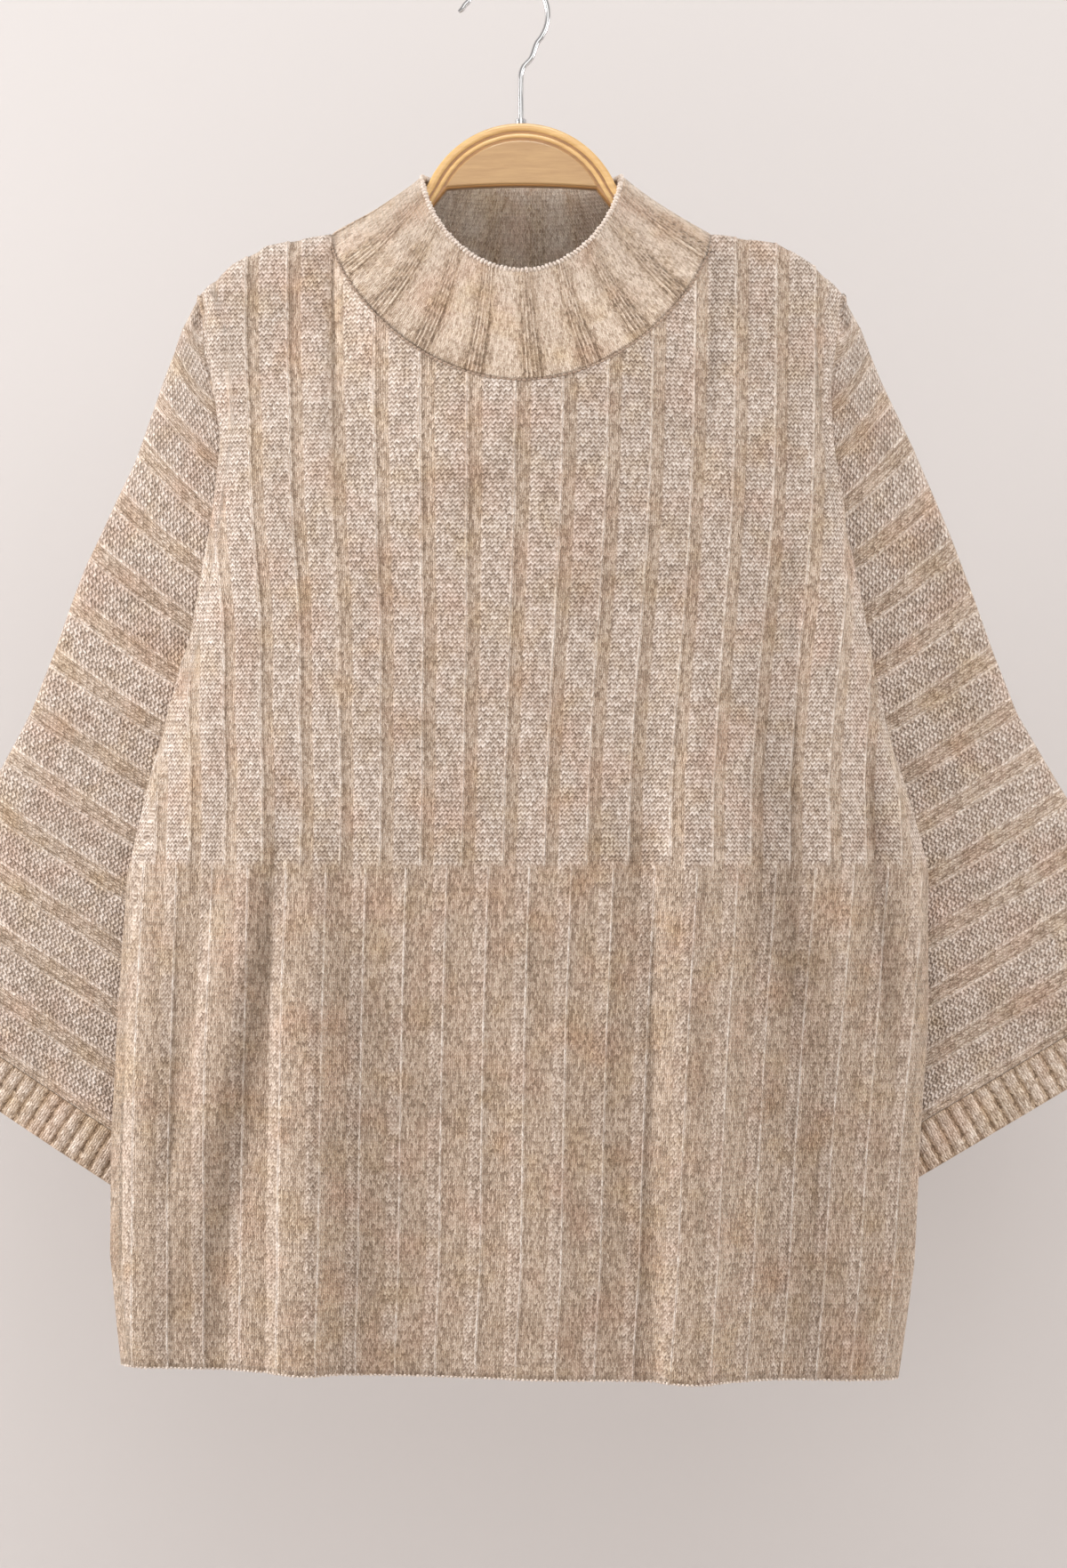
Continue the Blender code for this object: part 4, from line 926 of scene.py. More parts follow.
def cuff_cloth(sign):
    """The cuff's tube, from the sleeve's end and along its slope."""
    ends = [sleeve_line(f, sign, STRIPS, np.linspace(0.0, 1.0, END_POINTS))[1] for f in (-1, 1)]
    loop = np.array(ends[0] + ends[1][-2::-1])
    across = ends[0][-1] - ends[0][0]
    across = np.array([across[0], 0.0, across[2]]) / np.hypot(across[0], across[2])
    axis = np.cross(across, (0.0, 1.0, 0.0))
    axis = axis if axis[2] < 0.0 else -axis
    places = rib_places(CUFF_PROFILE, CUFF_RIBS)
    ring = [along(loop, place) for place in places]
    middle = np.mean(ring, axis=0)
    rows = []
    for share in CUFF_ROWS:
        moved = axis * (SEAM + CUFF_LENGTH * share)
        near_end = smooth((share - FLATTER_FROM) / (1.0 - FLATTER_FROM))
        fade = smooth(share * 10.0) * (1.0 - FLATTER * near_end)
        row = []
        for place, p in zip(places, ring):
            height, purl, painted_highlight, painted_shade = profile(CUFF_PROFILE, place * CUFF_RIBS)
            row.append((middle + (p - middle) * (1.0 + CUFF_FLARE * share) + moved,
                        (height * fade, purl, painted_highlight * fade, painted_shade),
                        (place * CUFF_RIBS * CUFF_WALES, share * CUFF_LENGTH / ROW)))
        rows.append(row)
    return ring_cloth(rows)


cuffs = {}
for sign, side in SIDES.items():
    sheet = cuff_cloth(sign)
    points = np.array(sheet.points)
    if np.sum(normals_of(points, sheet.faces) * (points - points.mean(axis=0))) < 0.0:
        sheet.faces = [tuple(reversed(f)) for f in sheet.faces]
    up = np.sum(normals_of(points, sheet.faces), axis=0)
    cuffs[sign] = finish_wall(merge_seam(knit_piece("cuff_" + side + "_knit", sheet, up)))
    print(cuffs[sign].name, "area", round(flat_area(cuffs[sign]), 4), "m2")

# %% [markdown]
# ## Seam of the collar
# Collar and body are linked stitch by stitch. On the outside this shows as a dark line with small
# ticks. It is made as a thin cord of short stitches that lies in the groove between the two.

# %% Linking seam
STITCH_GAP = 0.03         # share of a stitch that is left free at each of its ends
STITCH_RINGS, STITCH_SIDES = 5, 6
STITCH_FLAT = 0.8         # a stitch is a little narrower than it is thick
STITCH_BLUNT = 0.08       # its end rings keep this share of its section


def stitch_cord(name, points, outs, count, radius, lift, closed=False):
    """A row of small oval stitches along a line of points, all in one mesh."""
    line = np.array(list(points) + [points[0]] if closed else points)
    outs = np.array(list(outs) + [outs[0]] if closed else outs)
    verts, faces = [], []
    for n in range(count):
        a, b = (along(line, (n + t) / count) for t in (STITCH_GAP, 1.0 - STITCH_GAP))
        onwards = (b - a) / np.linalg.norm(b - a)
        out = along(line, (n + 0.5) / count, outs)
        out -= onwards * np.dot(out, onwards)
        out /= np.linalg.norm(out)
        side = np.cross(onwards, out)
        start = len(verts)
        uneven = 1.0 + 0.12 * math.sin(n * 2.3) + 0.08 * math.sin(n * 5.1)
        for r in range(STITCH_RINGS):
            t = r / (STITCH_RINGS - 1)
            size = radius * uneven * math.sqrt(max(1.0 - (2.0 * t - 1.0) ** 2, STITCH_BLUNT))
            middle = a + (b - a) * t + out * lift
            for turn in (2.0 * math.pi * k / STITCH_SIDES for k in range(STITCH_SIDES)):
                across = side * math.cos(turn) * STITCH_FLAT
                verts.append(middle + (across + out * math.sin(turn)) * size)
        rings = [[start + r * STITCH_SIDES + k for k in range(STITCH_SIDES)]
                 for r in range(STITCH_RINGS)]
        for low, high in zip(rings, rings[1:]):
            faces += zip(low, low[1:] + low[:1], high[1:] + high[:1], high)
        faces += [tuple(reversed(rings[0])), tuple(rings[-1])]
    piece = link_mesh(name, verts, faces)
    edit_mesh(piece, lambda work: bmesh.ops.recalc_face_normals(work, faces=work.faces))
    for face in piece.data.polygons:
        face.use_smooth = True
    print(name, count, "stitches along", round(run_along(line)[-1]), "mm")
    return piece


neck_angles = np.linspace(0.0, 2.0 * math.pi, 240, endpoint=False)
neck_outs = [(math.cos(a), math.sin(a), 0.35) for a in neck_angles]
neck_seam = stitch_cord("neck_seam", [neck_point(a) for a in neck_angles], neck_outs,
                        205, 1.0, 0.5, True)

# %% [markdown]
# ## Bound-off edges
# The collar's top and the hem end in a row of chained stitches, a little thicker and paler than
# the cloth. They are cords of the same kind, laid along the last row of each piece.

# %% Chained edges
COLLAR_EDGE_DEPTH, HEM_EDGE_DEPTH = 1.2, 0.9   # the cords lie this far under the outer face
COLLAR_EDGE_RADIUS, HEM_EDGE_RADIUS = 2.4, 1.35


def edge_cord(name, sheet, ids, depth, *cord):
    """A cord along the points with these numbers, a little inside the outer face."""
    return stitch_cord(name, [sheet.placed[v] - sheet.normals[v] * depth for v in ids],
                       [sheet.normals[v] for v in ids], *cord)


last = len(collar_sheet.points) - 1
top_ids = range(last - COLLAR_RIBS * len(COLLAR_PROFILE), last)
collar_edge = edge_cord("collar_edge", collar_sheet, top_ids, COLLAR_EDGE_DEPTH,
                        150, COLLAR_EDGE_RADIUS, 0.2, True)
hems = [edge_cord("hem_" + label, sheet, sheet.hem, HEM_EDGE_DEPTH, 220, HEM_EDGE_RADIUS, 0.0)
        for label, sheet in (("front", front_sheet), ("back", back_sheet))]

# %% [markdown]
# ## Hanger
# A flat wooden hanger with an arch over a plate. On the real one the arch has a raised rim, a dark
# groove, a thin second rim and the flat plate inside. The board is drawn as an outline and
# extruded, as a carpenter would saw it. The rims are a small profile spun round the arch's centre.

# %% Hanger board
WOOD_HALF = 5.5
GROOVE = 1.4              # how far the board lies behind the rims
ARCH_CENTRE = (CENTRE_X, -151.7)
ARCH_RADIUS = 62.1
WOOD_ARMS = ((68.0, -144.0), (84.0, -154.5), (104.0, -163.5), (116.0, -166.1), (154.0, -168.3),
             (174.5, -180.1), (187.0, -191.9))
ARM_WIDTH, ARM_LEAN = 12.5, 1.5   # an arm's lower edge lies this far below and inwards
PLATE_LOW, PLATE_HALF = -129.6, 45.4


def mirrored(half):
    """The right half of an outline, and its mirror image back to the start."""
    return half + [(-x, z) for x, z in reversed(half) if x > 0.01]


def board_outline():
    """The board's outline, from the top of the arch, in millimetres."""
    arch = [(ARCH_RADIUS * math.sin(a), ARCH_CENTRE[1] + ARCH_RADIUS * math.cos(a))
            for a in np.radians(np.arange(0.0, 68.0, 4.0))]
    low = [(x - ARM_LEAN, z - ARM_WIDTH) for x, z in reversed(WOOD_ARMS)]
    bow = [(PLATE_HALF * math.cos(t), PLATE_LOW + 2.0 * math.sin(t) * math.sin(t))
           for t in np.radians(np.arange(0.0, 91.0, 15.0))]
    return mirrored(arch + list(WOOD_ARMS) + low + bow)


def deselect():
    if bpy.context.object and bpy.context.object.mode != "OBJECT":
        bpy.ops.object.mode_set(mode="OBJECT")
    bpy.ops.object.select_all(action="DESELECT")


def apply_all(piece):
    """Applies the object's place and its modifiers, so it sits at the origin."""
    deselect()
    select_only(piece)
    bpy.ops.object.transform_apply(location=True, rotation=True, scale=True)
    for modifier in list(piece.modifiers):
        bpy.ops.object.modifier_apply(modifier=modifier.name)
    deselect()
    return piece


def round_edges(piece, width, smooth_angle):
    """Rounds every edge over 50 degrees, and shades the rest smooth up to an angle."""
    edge = piece.modifiers.new("rounded", "BEVEL")
    edge.width, edge.segments, edge.limit_method = width, 4, "ANGLE"
    edge.angle_limit = math.radians(50.0)
    bpy.ops.object.shade_smooth_by_angle(angle=math.radians(smooth_angle))
    return apply_all(piece)


def new_board(name, outline, front_y, back_y, bevel):
    """A circle filled with one face is pulled to an outline, extruded back, and its edges rounded."""
    deselect()
    bpy.ops.mesh.primitive_circle_add(vertices=len(outline), radius=0.05, fill_type="NGON")
    board = bpy.context.object
    board.name = name
    for vertex, (x, z) in zip(board.data.vertices, outline):
        vertex.co = ((x + CENTRE_X) / PER_METRE, front_y / PER_METRE, z / PER_METRE)
    bpy.ops.object.mode_set(mode="EDIT")
    bpy.ops.mesh.select_all(action="SELECT")
    thickness = (back_y - front_y) / PER_METRE
    bpy.ops.mesh.extrude_region_move(TRANSFORM_OT_translate={"value": (0, thickness, 0)})
    bpy.ops.mesh.select_all(action="SELECT")
    bpy.ops.mesh.normals_make_consistent(inside=False)
    bpy.ops.object.mode_set(mode="OBJECT")
    return round_edges(board, bevel / PER_METRE, 35.0)


board = new_board("hanger_board", board_outline(), -WOOD_HALF + GROOVE, WOOD_HALF - GROOVE, 1.2)
print("board", len(board.data.polygons), "faces")

# %% Rims spun round the arch
RIM_ROUND, RIM_ROUND_MOST = 0.42, 0.0016   # rounding as a share of a rim's width, and in metres


def close_rim(work):
    """Joins the two halves of a rim, without the faces between them, and closes its ends."""
    bmesh.ops.remove_doubles(work, verts=work.verts, dist=0.00001)
    centre = ARCH_CENTRE[0] / PER_METRE
    inside = [f for f in work.faces if all(abs(v.co.x - centre) < TINY for v in f.verts)]
    bmesh.ops.delete(work, geom=inside, context="FACES")
    bmesh.ops.holes_fill(work, edges=work.edges, sides=6)
    bmesh.ops.recalc_face_normals(work, faces=work.faces)


def spun_rim(name, inner, outer, front_y, back_y, half_angle, steps, run):
    """A small rectangle at the top of the arch, spun to both sides round the arch's centre and
    then extruded along the arms by the steps of run."""
    deselect()
    middle = ARCH_RADIUS - (inner + outer) / 2.0
    bpy.ops.mesh.primitive_plane_add(size=1.0, location=(0.0, 0.0, 0.0))
    rim = bpy.context.object
    rim.name = name
    width, depth = (outer - inner) / PER_METRE, (back_y - front_y) / PER_METRE
    for vertex in rim.data.vertices:
        x, y = vertex.co.x * depth, vertex.co.y * width
        vertex.co = (ARCH_CENTRE[0] / PER_METRE, (front_y + back_y) / 2.0 / PER_METRE + x,
                     (ARCH_CENTRE[1] + middle) / PER_METRE + y)
    bpy.ops.object.mode_set(mode="EDIT")
    bpy.ops.mesh.select_all(action="SELECT")
    centre = (ARCH_CENTRE[0] / PER_METRE, 0.0, ARCH_CENTRE[1] / PER_METRE)
    bpy.ops.mesh.spin(steps=steps, angle=math.radians(half_angle), center=centre, axis=(0, 1, 0))
    reach = max(v.co.x for v in bmesh.from_edit_mesh(rim.data).verts)
    side = 1.0 if reach > ARCH_CENTRE[0] / PER_METRE + 0.02 else -1.0
    for along_x, down in run:
        bpy.ops.mesh.extrude_region_move(
            TRANSFORM_OT_translate={"value": (side * along_x / PER_METRE, 0.0, -down / PER_METRE)})
    bpy.ops.object.mode_set(mode="OBJECT")
    copy = rim.copy()
    copy.data = rim.data.copy()
    bpy.context.collection.objects.link(copy)
    for vertex in copy.data.vertices:
        vertex.co.x = 2.0 * ARCH_CENTRE[0] / PER_METRE - vertex.co.x
    rim.select_set(True)
    copy.select_set(True)
    bpy.context.view_layer.objects.active = rim
    bpy.ops.object.join()
    edit_mesh(rim, close_rim)
    return round_edges(rim, min(width * RIM_ROUND, RIM_ROUND_MOST), 40.0)


outer_rim = spun_rim("hanger_rim", 0.0, 4.7, -WOOD_HALF, WOOD_HALF, 66.0, 40,
                     ((11.6, 17.8), (16.5, 11.3)))
inner_rim = spun_rim("hanger_inner_rim", 6.2, 8.9, -WOOD_HALF + 0.5, WOOD_HALF - 0.5, 60.0, 36,
                     ((14.4, 23.6), (18.3, 12.8)))

# %% Plate in the arch
def plate_outline():
    """The plate's outline: an arc under the inner rim, and a low edge that bows up."""
    radius = ARCH_RADIUS - 10.2
    reach = math.degrees(math.acos((PLATE_LOW + 1.2 - ARCH_CENTRE[1]) / radius))
    arc = [(radius * math.sin(a), ARCH_CENTRE[1] + radius * math.cos(a))
           for a in np.radians(np.linspace(0.0, reach, 18))]
    low = [(x, PLATE_LOW + 1.0 + 2.2 * (1.0 - (x / arc[-1][0]) ** 2)) for x in (36.0, 26.0, 15.0, 5.0)]
    return mirrored(arc + low)


plate = new_board("hanger_plate", plate_outline(), -WOOD_HALF + 0.6, WOOD_HALF - 0.6, 1.1)
wood_pieces = (board, outer_rim, inner_rim, plate)

# %% [markdown]
# ## Hook
# A length of plated wire: a stem out of the wood, most of a circle, and a tip that turns out and
# ends in a small smooth point. A curve with a round bevel is the natural tool for wire. A small
# turned ferrule closes the hole in the wood.

# %% Hook wire
HOOK_RADIUS, HOOK_WIRE = 24.9, 1.7
STEM_X = 8.5
WOOD_TOP = -89.6


def hook_wire():
    """The stem, most of a circle, and the tip; the last two points make the tip thinner."""
    deselect()
    centre_z = -HOOK_RADIUS + HOOK_WIRE
    places = [(STEM_X, WOOD_TOP - 4.0), (STEM_X, WOOD_TOP + 8.0), (STEM_X, -66.0),
              (STEM_X + 1.0, -56.0), (STEM_X + 6.4, -49.2)]
    places += [(HOOK_RADIUS * math.cos(t), centre_z + HOOK_RADIUS * math.sin(t))
               for t in np.radians(np.arange(-42.0, 168.0, 7.0))]
    places += [(-25.4, -17.0), (-27.0, -19.4), (-29.2, -21.2)]
    bpy.ops.curve.primitive_nurbs_path_add()
    wire = bpy.context.object
    wire.name = "hook_wire"
    curve = wire.data
    curve.splines.clear()
    spline = curve.splines.new("BEZIER")
    spline.bezier_points.add(len(places) - 1)
    for point, (x, z) in zip(spline.bezier_points, places):
        point.co = (x / PER_METRE, 0.0, z / PER_METRE)
        point.handle_left_type = point.handle_right_type = "AUTO"
    spline.bezier_points[-1].radius = 0.62
    spline.bezier_points[-2].radius = 0.95
    spline.resolution_u = 5
    curve.bevel_depth, curve.bevel_resolution, curve.use_fill_caps = HOOK_WIRE / PER_METRE, 5, True
    bpy.ops.object.convert(target="MESH")
    wire = bpy.context.object
    bpy.ops.object.shade_smooth_by_angle(angle=math.radians(50.0))
    return apply_all(wire)


hook = hook_wire()

# %% Ferrule at the foot of the hook
deselect()
bpy.ops.mesh.primitive_cylinder_add(vertices=32, radius=0.0034, depth=0.0035,
                                    location=(STEM_X / PER_METRE, 0.0, (WOOD_TOP + 1.2) / PER_METRE))
ferrule = bpy.context.object
ferrule.name = "hook_ferrule"
bpy.ops.object.mode_set(mode="EDIT")
bpy.ops.mesh.select_all(action="DESELECT")
bpy.ops.object.mode_set(mode="OBJECT")
for face in ferrule.data.polygons:
    face.select = face.normal.z > 0.9
bpy.ops.object.mode_set(mode="EDIT")
bpy.ops.mesh.inset(thickness=0.0009)
bpy.ops.mesh.extrude_region_move(TRANSFORM_OT_translate={"value": (0, 0, 0.0008)})
bpy.ops.object.mode_set(mode="OBJECT")
edge = ferrule.modifiers.new("rounded", "BEVEL")
edge.width, edge.segments = 0.0003, 2
bpy.ops.object.shade_smooth_by_angle(angle=math.radians(35.0))
ferrule = apply_all(ferrule)
print("hook", len(hook.data.polygons), "faces")

# %% [markdown]
# ## Yarn
# The yarn is a mix of undyed fibres: cream, oatmeal, sand and a few dark hairs. One node group
# makes the relief and the tone of the stitches from the stitch map. A knit stitch is a small V of
# two legs; a purl stitch shows its bump, so rows of purl look like low waves. The group is used by
# every knitted material with its own values.

# %% Helpers for node trees
def add_node(tree, kind, values=None, **settings):
    node = tree.nodes.new(kind)
    for key, value in settings.items():
        setattr(node, key, value)
    for key, value in (values or {}).items():
        node.inputs[key].default_value = value
    return node


def new_material(name, values):
    """A material, its node tree and its shader, whose inputs get the values."""
    material = bpy.data.materials.new(name)
    material.use_nodes = True
    shader = material.node_tree.nodes["Principled BSDF"]
    for key, value in values.items():
        shader.inputs[key].default_value = value
    return material, material.node_tree, shader


def add_noise(tree, vector, scale, detail, roughness=0.5, **settings):
    """Noise over a vector; gives its values."""
    values = {"Scale": scale, "Detail": detail, "Roughness": roughness}
    node = add_node(tree, "ShaderNodeTexNoise", values, **settings)
    tree.links.new(vector, node.inputs["Vector"])
    return node.outputs["Fac"]


def map_range(tree, value, **limits):
    """Maps a value linearly; the limits are from_min, from_max, to_min and to_max."""
    named = {key.replace("_", " ").title(): limit for key, limit in limits.items()}
    node = add_node(tree, "ShaderNodeMapRange", named)
    tree.links.new(value, node.inputs["Value"])
    return node.outputs[0]


def add_bump(tree, shader, height, strength, distance):
    bump = add_node(tree, "ShaderNodeBump", {"Strength": strength, "Distance": distance})
    tree.links.new(height, bump.inputs["Height"])
    tree.links.new(bump.outputs[0], shader.inputs["Normal"])


def object_place(tree):
    return add_node(tree, "ShaderNodeTexCoord").outputs["Object"]


def give(material, *pieces):
    """The only material of these pieces."""
    for piece in pieces:
        piece.data.materials.clear()
        piece.data.materials.append(material)


def maths(tree, operation, a, b=None, c=None, clamp=False):
    """A Math node; a, b and c are numbers or sockets."""
    node = add_node(tree, "ShaderNodeMath", operation=operation, use_clamp=clamp)
    for slot, value in enumerate((a, b, c)):
        if value is None:
            continue
        if isinstance(value, (int, float)):
            node.inputs[slot].default_value = value
        else:
            tree.links.new(value, node.inputs[slot])
    return node.outputs[0]


def mix_colour(tree, factor, a, b, blend="MIX"):
    node = add_node(tree, "ShaderNodeMix", data_type="RGBA", blend_type=blend)
    for slot, value in ((0, factor), (6, a), (7, b)):
        if isinstance(value, (int, float, tuple)):
            node.inputs[slot].default_value = value
        else:
            tree.links.new(value, node.inputs[slot])
    return node.outputs[2]


def srgb(r, g, b):
    """A colour as a screen shows it, turned into the linear values that a shader wants."""
    def lin(v):
        v /= 255.0
        return v / 12.92 if v <= 0.04045 else ((v + 0.055) / 1.055) ** 2.4
    return (lin(r), lin(g), lin(b), 1.0)

# %% Stitch group
def cosine(tree, turns):
    """The cosine of a value counted in whole turns."""
    return maths(tree, "COSINE", maths(tree, "MULTIPLY", turns, 2.0 * math.pi))


def new_group(name, sockets):
    """A node group with (name, INPUT or OUTPUT, kind) sockets, its input node and its output node."""
    group = bpy.data.node_groups.new(name, "ShaderNodeTree")
    for label, way, kind in sockets:
        group.interface.new_socket(label, in_out=way, socket_type="NodeSocket" + kind)
    return group, add_node(group, "NodeGroupInput"), add_node(group, "NodeGroupOutput")


def stitch_group():
    """Height and tone of the stitches, from the stitch map and the share of purl."""
    t, given, out = new_group("stitch_relief", (
        ("Map", "INPUT", "Vector"), ("Purl", "INPUT", "Float"),
        ("Height", "OUTPUT", "Float"), ("Tone", "OUTPUT", "Float")))
    wobble = add_noise(t, given.outputs["Map"], 0.9, 2.0, noise_dimensions="2D")
    split = add_node(t, "ShaderNodeSeparateXYZ")
    t.links.new(given.outputs["Map"], split.inputs[0])
    shift = maths(t, "MULTIPLY", maths(t, "SUBTRACT", wobble, 0.5), 0.55)
    u = maths(t, "ADD", split.outputs[0], shift)
    v = maths(t, "ADD", split.outputs[1], maths(t, "MULTIPLY", shift, 0.8))
    off = maths(t, "ABSOLUTE", maths(t, "SUBTRACT", maths(t, "FRACT", u), 0.5))
    leg = maths(t, "SUBTRACT", 1.0, maths(t, "POWER", maths(t, "MULTIPLY", maths(t, "ABSOLUTE",
                maths(t, "SUBTRACT", off, 0.25)), 4.0), 2.0), clamp=True)
    slant = maths(t, "ADD", v, maths(t, "MULTIPLY", off, 1.2))
    wave = maths(t, "MULTIPLY_ADD", cosine(t, slant), 0.5, 0.5)
    knit = maths(t, "MULTIPLY", leg, maths(t, "MULTIPLY_ADD", wave, 0.6, 0.4))
    arc = maths(t, "ADD", v, maths(t, "MULTIPLY", cosine(t, u), 0.2))
    purl = maths(t, "MULTIPLY_ADD", cosine(t, arc), 0.5, 0.5)
    height = add_node(t, "ShaderNodeMix", data_type="FLOAT")
    t.links.new(given.outputs["Purl"], height.inputs[0])
    t.links.new(knit, height.inputs[2])
    t.links.new(purl, height.inputs[3])
    t.links.new(height.outputs[0], out.inputs["Height"])
    cell = add_node(t, "ShaderNodeCombineXYZ")
    t.links.new(maths(t, "FLOOR", maths(t, "MULTIPLY", u, 2.0)), cell.inputs[0])
    t.links.new(maths(t, "FLOOR", slant), cell.inputs[1])
    speck = add_node(t, "ShaderNodeTexWhiteNoise", noise_dimensions="2D")
    t.links.new(cell.outputs[0], speck.inputs["Vector"])
    ply = add_noise(t, given.outputs["Map"], 2.6, 4.0, 0.75, noise_dimensions="2D")
    tone = maths(t, "ADD", maths(t, "MULTIPLY", speck.outputs["Value"], 0.42),
                 maths(t, "MULTIPLY", ply, 0.85))
    t.links.new(maths(t, "SUBTRACT", tone, 0.13), out.inputs["Tone"])
    return t


STITCHES = stitch_group()

# %% Patches group
FLEECE = (                # scale of the patches, tint, and the noise values where they start and end
    (34.0, srgb(246, 226, 216), 0.48, 0.72),
    (45.0, srgb(240, 228, 200), 0.50, 0.75),
    (27.0, srgb(222, 218, 212), 0.50, 0.75),
)


def patches_group():
    """Slow changes of colour over the cloth, where darker or pinker fleece was spun in."""
    group, given, out = new_group("fleece_patches", (
        ("Colour", "INPUT", "Color"), ("Amount", "INPUT", "Float"), ("Colour", "OUTPUT", "Color")))
    place = object_place(group)
    colour = given.outputs["Colour"]
    for scale, tint, low, high in FLEECE:
        shift = add_node(group, "ShaderNodeMapping", {"Location": (scale, 0.0, scale * 0.37)})
        group.links.new(place, shift.inputs["Vector"])
        noise = add_noise(group, shift.outputs[0], scale, 3.0)
        share = map_range(group, noise, from_min=low, from_max=high)
        factor = maths(group, "MULTIPLY", share, given.outputs["Amount"], clamp=True)
        colour = mix_colour(group, factor, colour, mix_colour(group, 1.0, colour, tint, "MULTIPLY"))
    group.links.new(colour, out.inputs["Colour"])
    return group


PATCHES = patches_group()

# %% Knit material
YARN_STOPS = ((0.0, srgb(112, 97, 86)), (0.25, srgb(152, 134, 120)), (0.5, srgb(190, 173, 160)),
              (0.75, srgb(217, 203, 193)), (1.0, srgb(240, 232, 225)))   # dark hairs up to cream


def knit_material(name, depth, painted_shade, tan_share, painted_highlight, shift):
    """The yarn. depth is its relief in metres; the painted shade in the grooves, the painted highlight
    on the raised columns and shift change its tone; tan_share is how much warmer the smooth strips are
    than the purl and the highlighted columns."""
    material, t, shader = new_material(name, {
        "Roughness": 0.92, "Sheen Weight": 0.5, "Sheen Roughness": 0.4,
        "Sheen Tint": srgb(250, 240, 228), "Specular IOR Level": 0.2})
    stitches = add_node(t, "ShaderNodeUVMap", uv_map="stitches")
    group = add_node(t, "ShaderNodeGroup", node_tree=STITCHES)
    t.links.new(stitches.outputs[0], group.inputs["Map"])
    kinds = {n: add_node(t, "ShaderNodeAttribute", attribute_name=n).outputs["Fac"]
             for n in KNIT_KINDS}
    t.links.new(kinds["purl"], group.inputs["Purl"])
    fibre = add_noise(t, object_place(t), 900.0, 3.0, 0.7)
    tone = maths(t, "ADD", group.outputs["Tone"],
                 maths(t, "MULTIPLY", maths(t, "SUBTRACT", fibre, 0.5), 0.5))
    # Painted shade between the loops: the low parts of each stitch are painted darker and the high
    # parts lighter, more on purl.
    painted_loop_shading = maths(t, "MULTIPLY", maths(t, "SUBTRACT", group.outputs["Height"], 0.55),
                maths(t, "MULTIPLY_ADD", kinds["purl"], 0.14, 0.26))
    tone = maths(t, "ADD", tone, painted_loop_shading)
    # Painted highlight on the raised columns and rib tops, plus the material's shift.
    tone = maths(t, "ADD", tone, maths(t, "MULTIPLY_ADD", kinds["painted_highlight"], painted_highlight, shift))
    # Painted shade in the grooves and sunk strips.
    tone = maths(t, "SUBTRACT", tone, maths(t, "MULTIPLY", kinds["painted_shade"], painted_shade), clamp=True)
    ramp = add_node(t, "ShaderNodeValToRGB")
    while len(ramp.color_ramp.elements) < len(YARN_STOPS):
        ramp.color_ramp.elements.new(0.5)
    for element, (position, colour) in zip(ramp.color_ramp.elements, YARN_STOPS):
        element.position, element.color = position, colour
    t.links.new(tone, ramp.inputs[0])
    tan = mix_colour(t, 1.0, ramp.outputs[0], srgb(250, 241, 226), "MULTIPLY")
    raised = maths(t, "MAXIMUM", kinds["purl"], kinds["painted_highlight"])
    smooth_strip = maths(t, "MULTIPLY", tan_share, maths(t, "SUBTRACT", 1.0, raised, clamp=True))
    colour = mix_colour(t, smooth_strip, ramp.outputs[0], tan)
    patch = add_node(t, "ShaderNodeGroup", node_tree=PATCHES)
    patch.inputs["Amount"].default_value = 0.55
    t.links.new(colour, patch.inputs["Colour"])
    t.links.new(patch.outputs["Colour"], shader.inputs["Base Color"])
    relief = maths(t, "ADD", group.outputs["Height"], maths(t, "MULTIPLY", fibre, 0.5))
    add_bump(t, shader, relief, 0.8, depth)
    return material


knit = knit_material("oatmeal_knit", depth=0.00085, painted_shade=0.14, tan_share=0.6, painted_highlight=0.24,
                     shift=-0.03)
collar_knit = knit_material("collar_knit", depth=0.0006, painted_shade=0.2, tan_share=1.0, painted_highlight=0.17,
                            shift=0.0)
# The inside of the collar is a lighter copy of the yarn: painted light where the inside lies in shade.
collar_inside_painted_light = knit_material("collar_inside_painted_light", depth=0.0006, painted_shade=0.1, tan_share=1.0, painted_highlight=0.1,
                              shift=0.2)
give(knit, front, back)
give(collar_knit, collar, *cuffs.values())
collar.data.materials.append(collar_inside_painted_light)
# Faces that look into the collar get the lighter copy, with its painted light.
for face in collar.data.polygons:
    outwards = Vector((face.center.x - CENTRE_X / PER_METRE, face.center.y, 0.0))
    face.material_index = 1 if face.normal.dot(outwards) < 0.0 else 0

# %% Seam thread
seam_yarn, tree, shader = new_material("seam_yarn", {"Roughness": 0.9, "Sheen Weight": 0.2})
twist = add_noise(tree, object_place(tree), 260.0, 3.0)
tree.links.new(mix_colour(tree, twist, srgb(112, 90, 74), srgb(184, 160, 140)),
               shader.inputs["Base Color"])
give(seam_yarn, neck_seam)

edge_yarn, tree, shader = new_material("edge_yarn", {"Roughness": 0.92, "Sheen Weight": 0.5})
ply = add_noise(tree, object_place(tree), 520.0, 4.0, 0.7)
share = map_range(tree, ply, from_min=0.3, from_max=0.7)
tree.links.new(mix_colour(tree, share, srgb(168, 146, 128), srgb(238, 226, 215)),
               shader.inputs["Base Color"])
add_bump(tree, shader, ply, 0.7, 0.0006)
give(edge_yarn, collar_edge, *hems)

# %% [markdown]
# ## Wood and plated wire
# The hanger is pale wood under clear lacquer: long fine grain, a warm tan, a glossy coat. Its
# plate is a shade deeper, and the groove between the rims deeper still. The hook is bright plated
# wire with a faint haze.

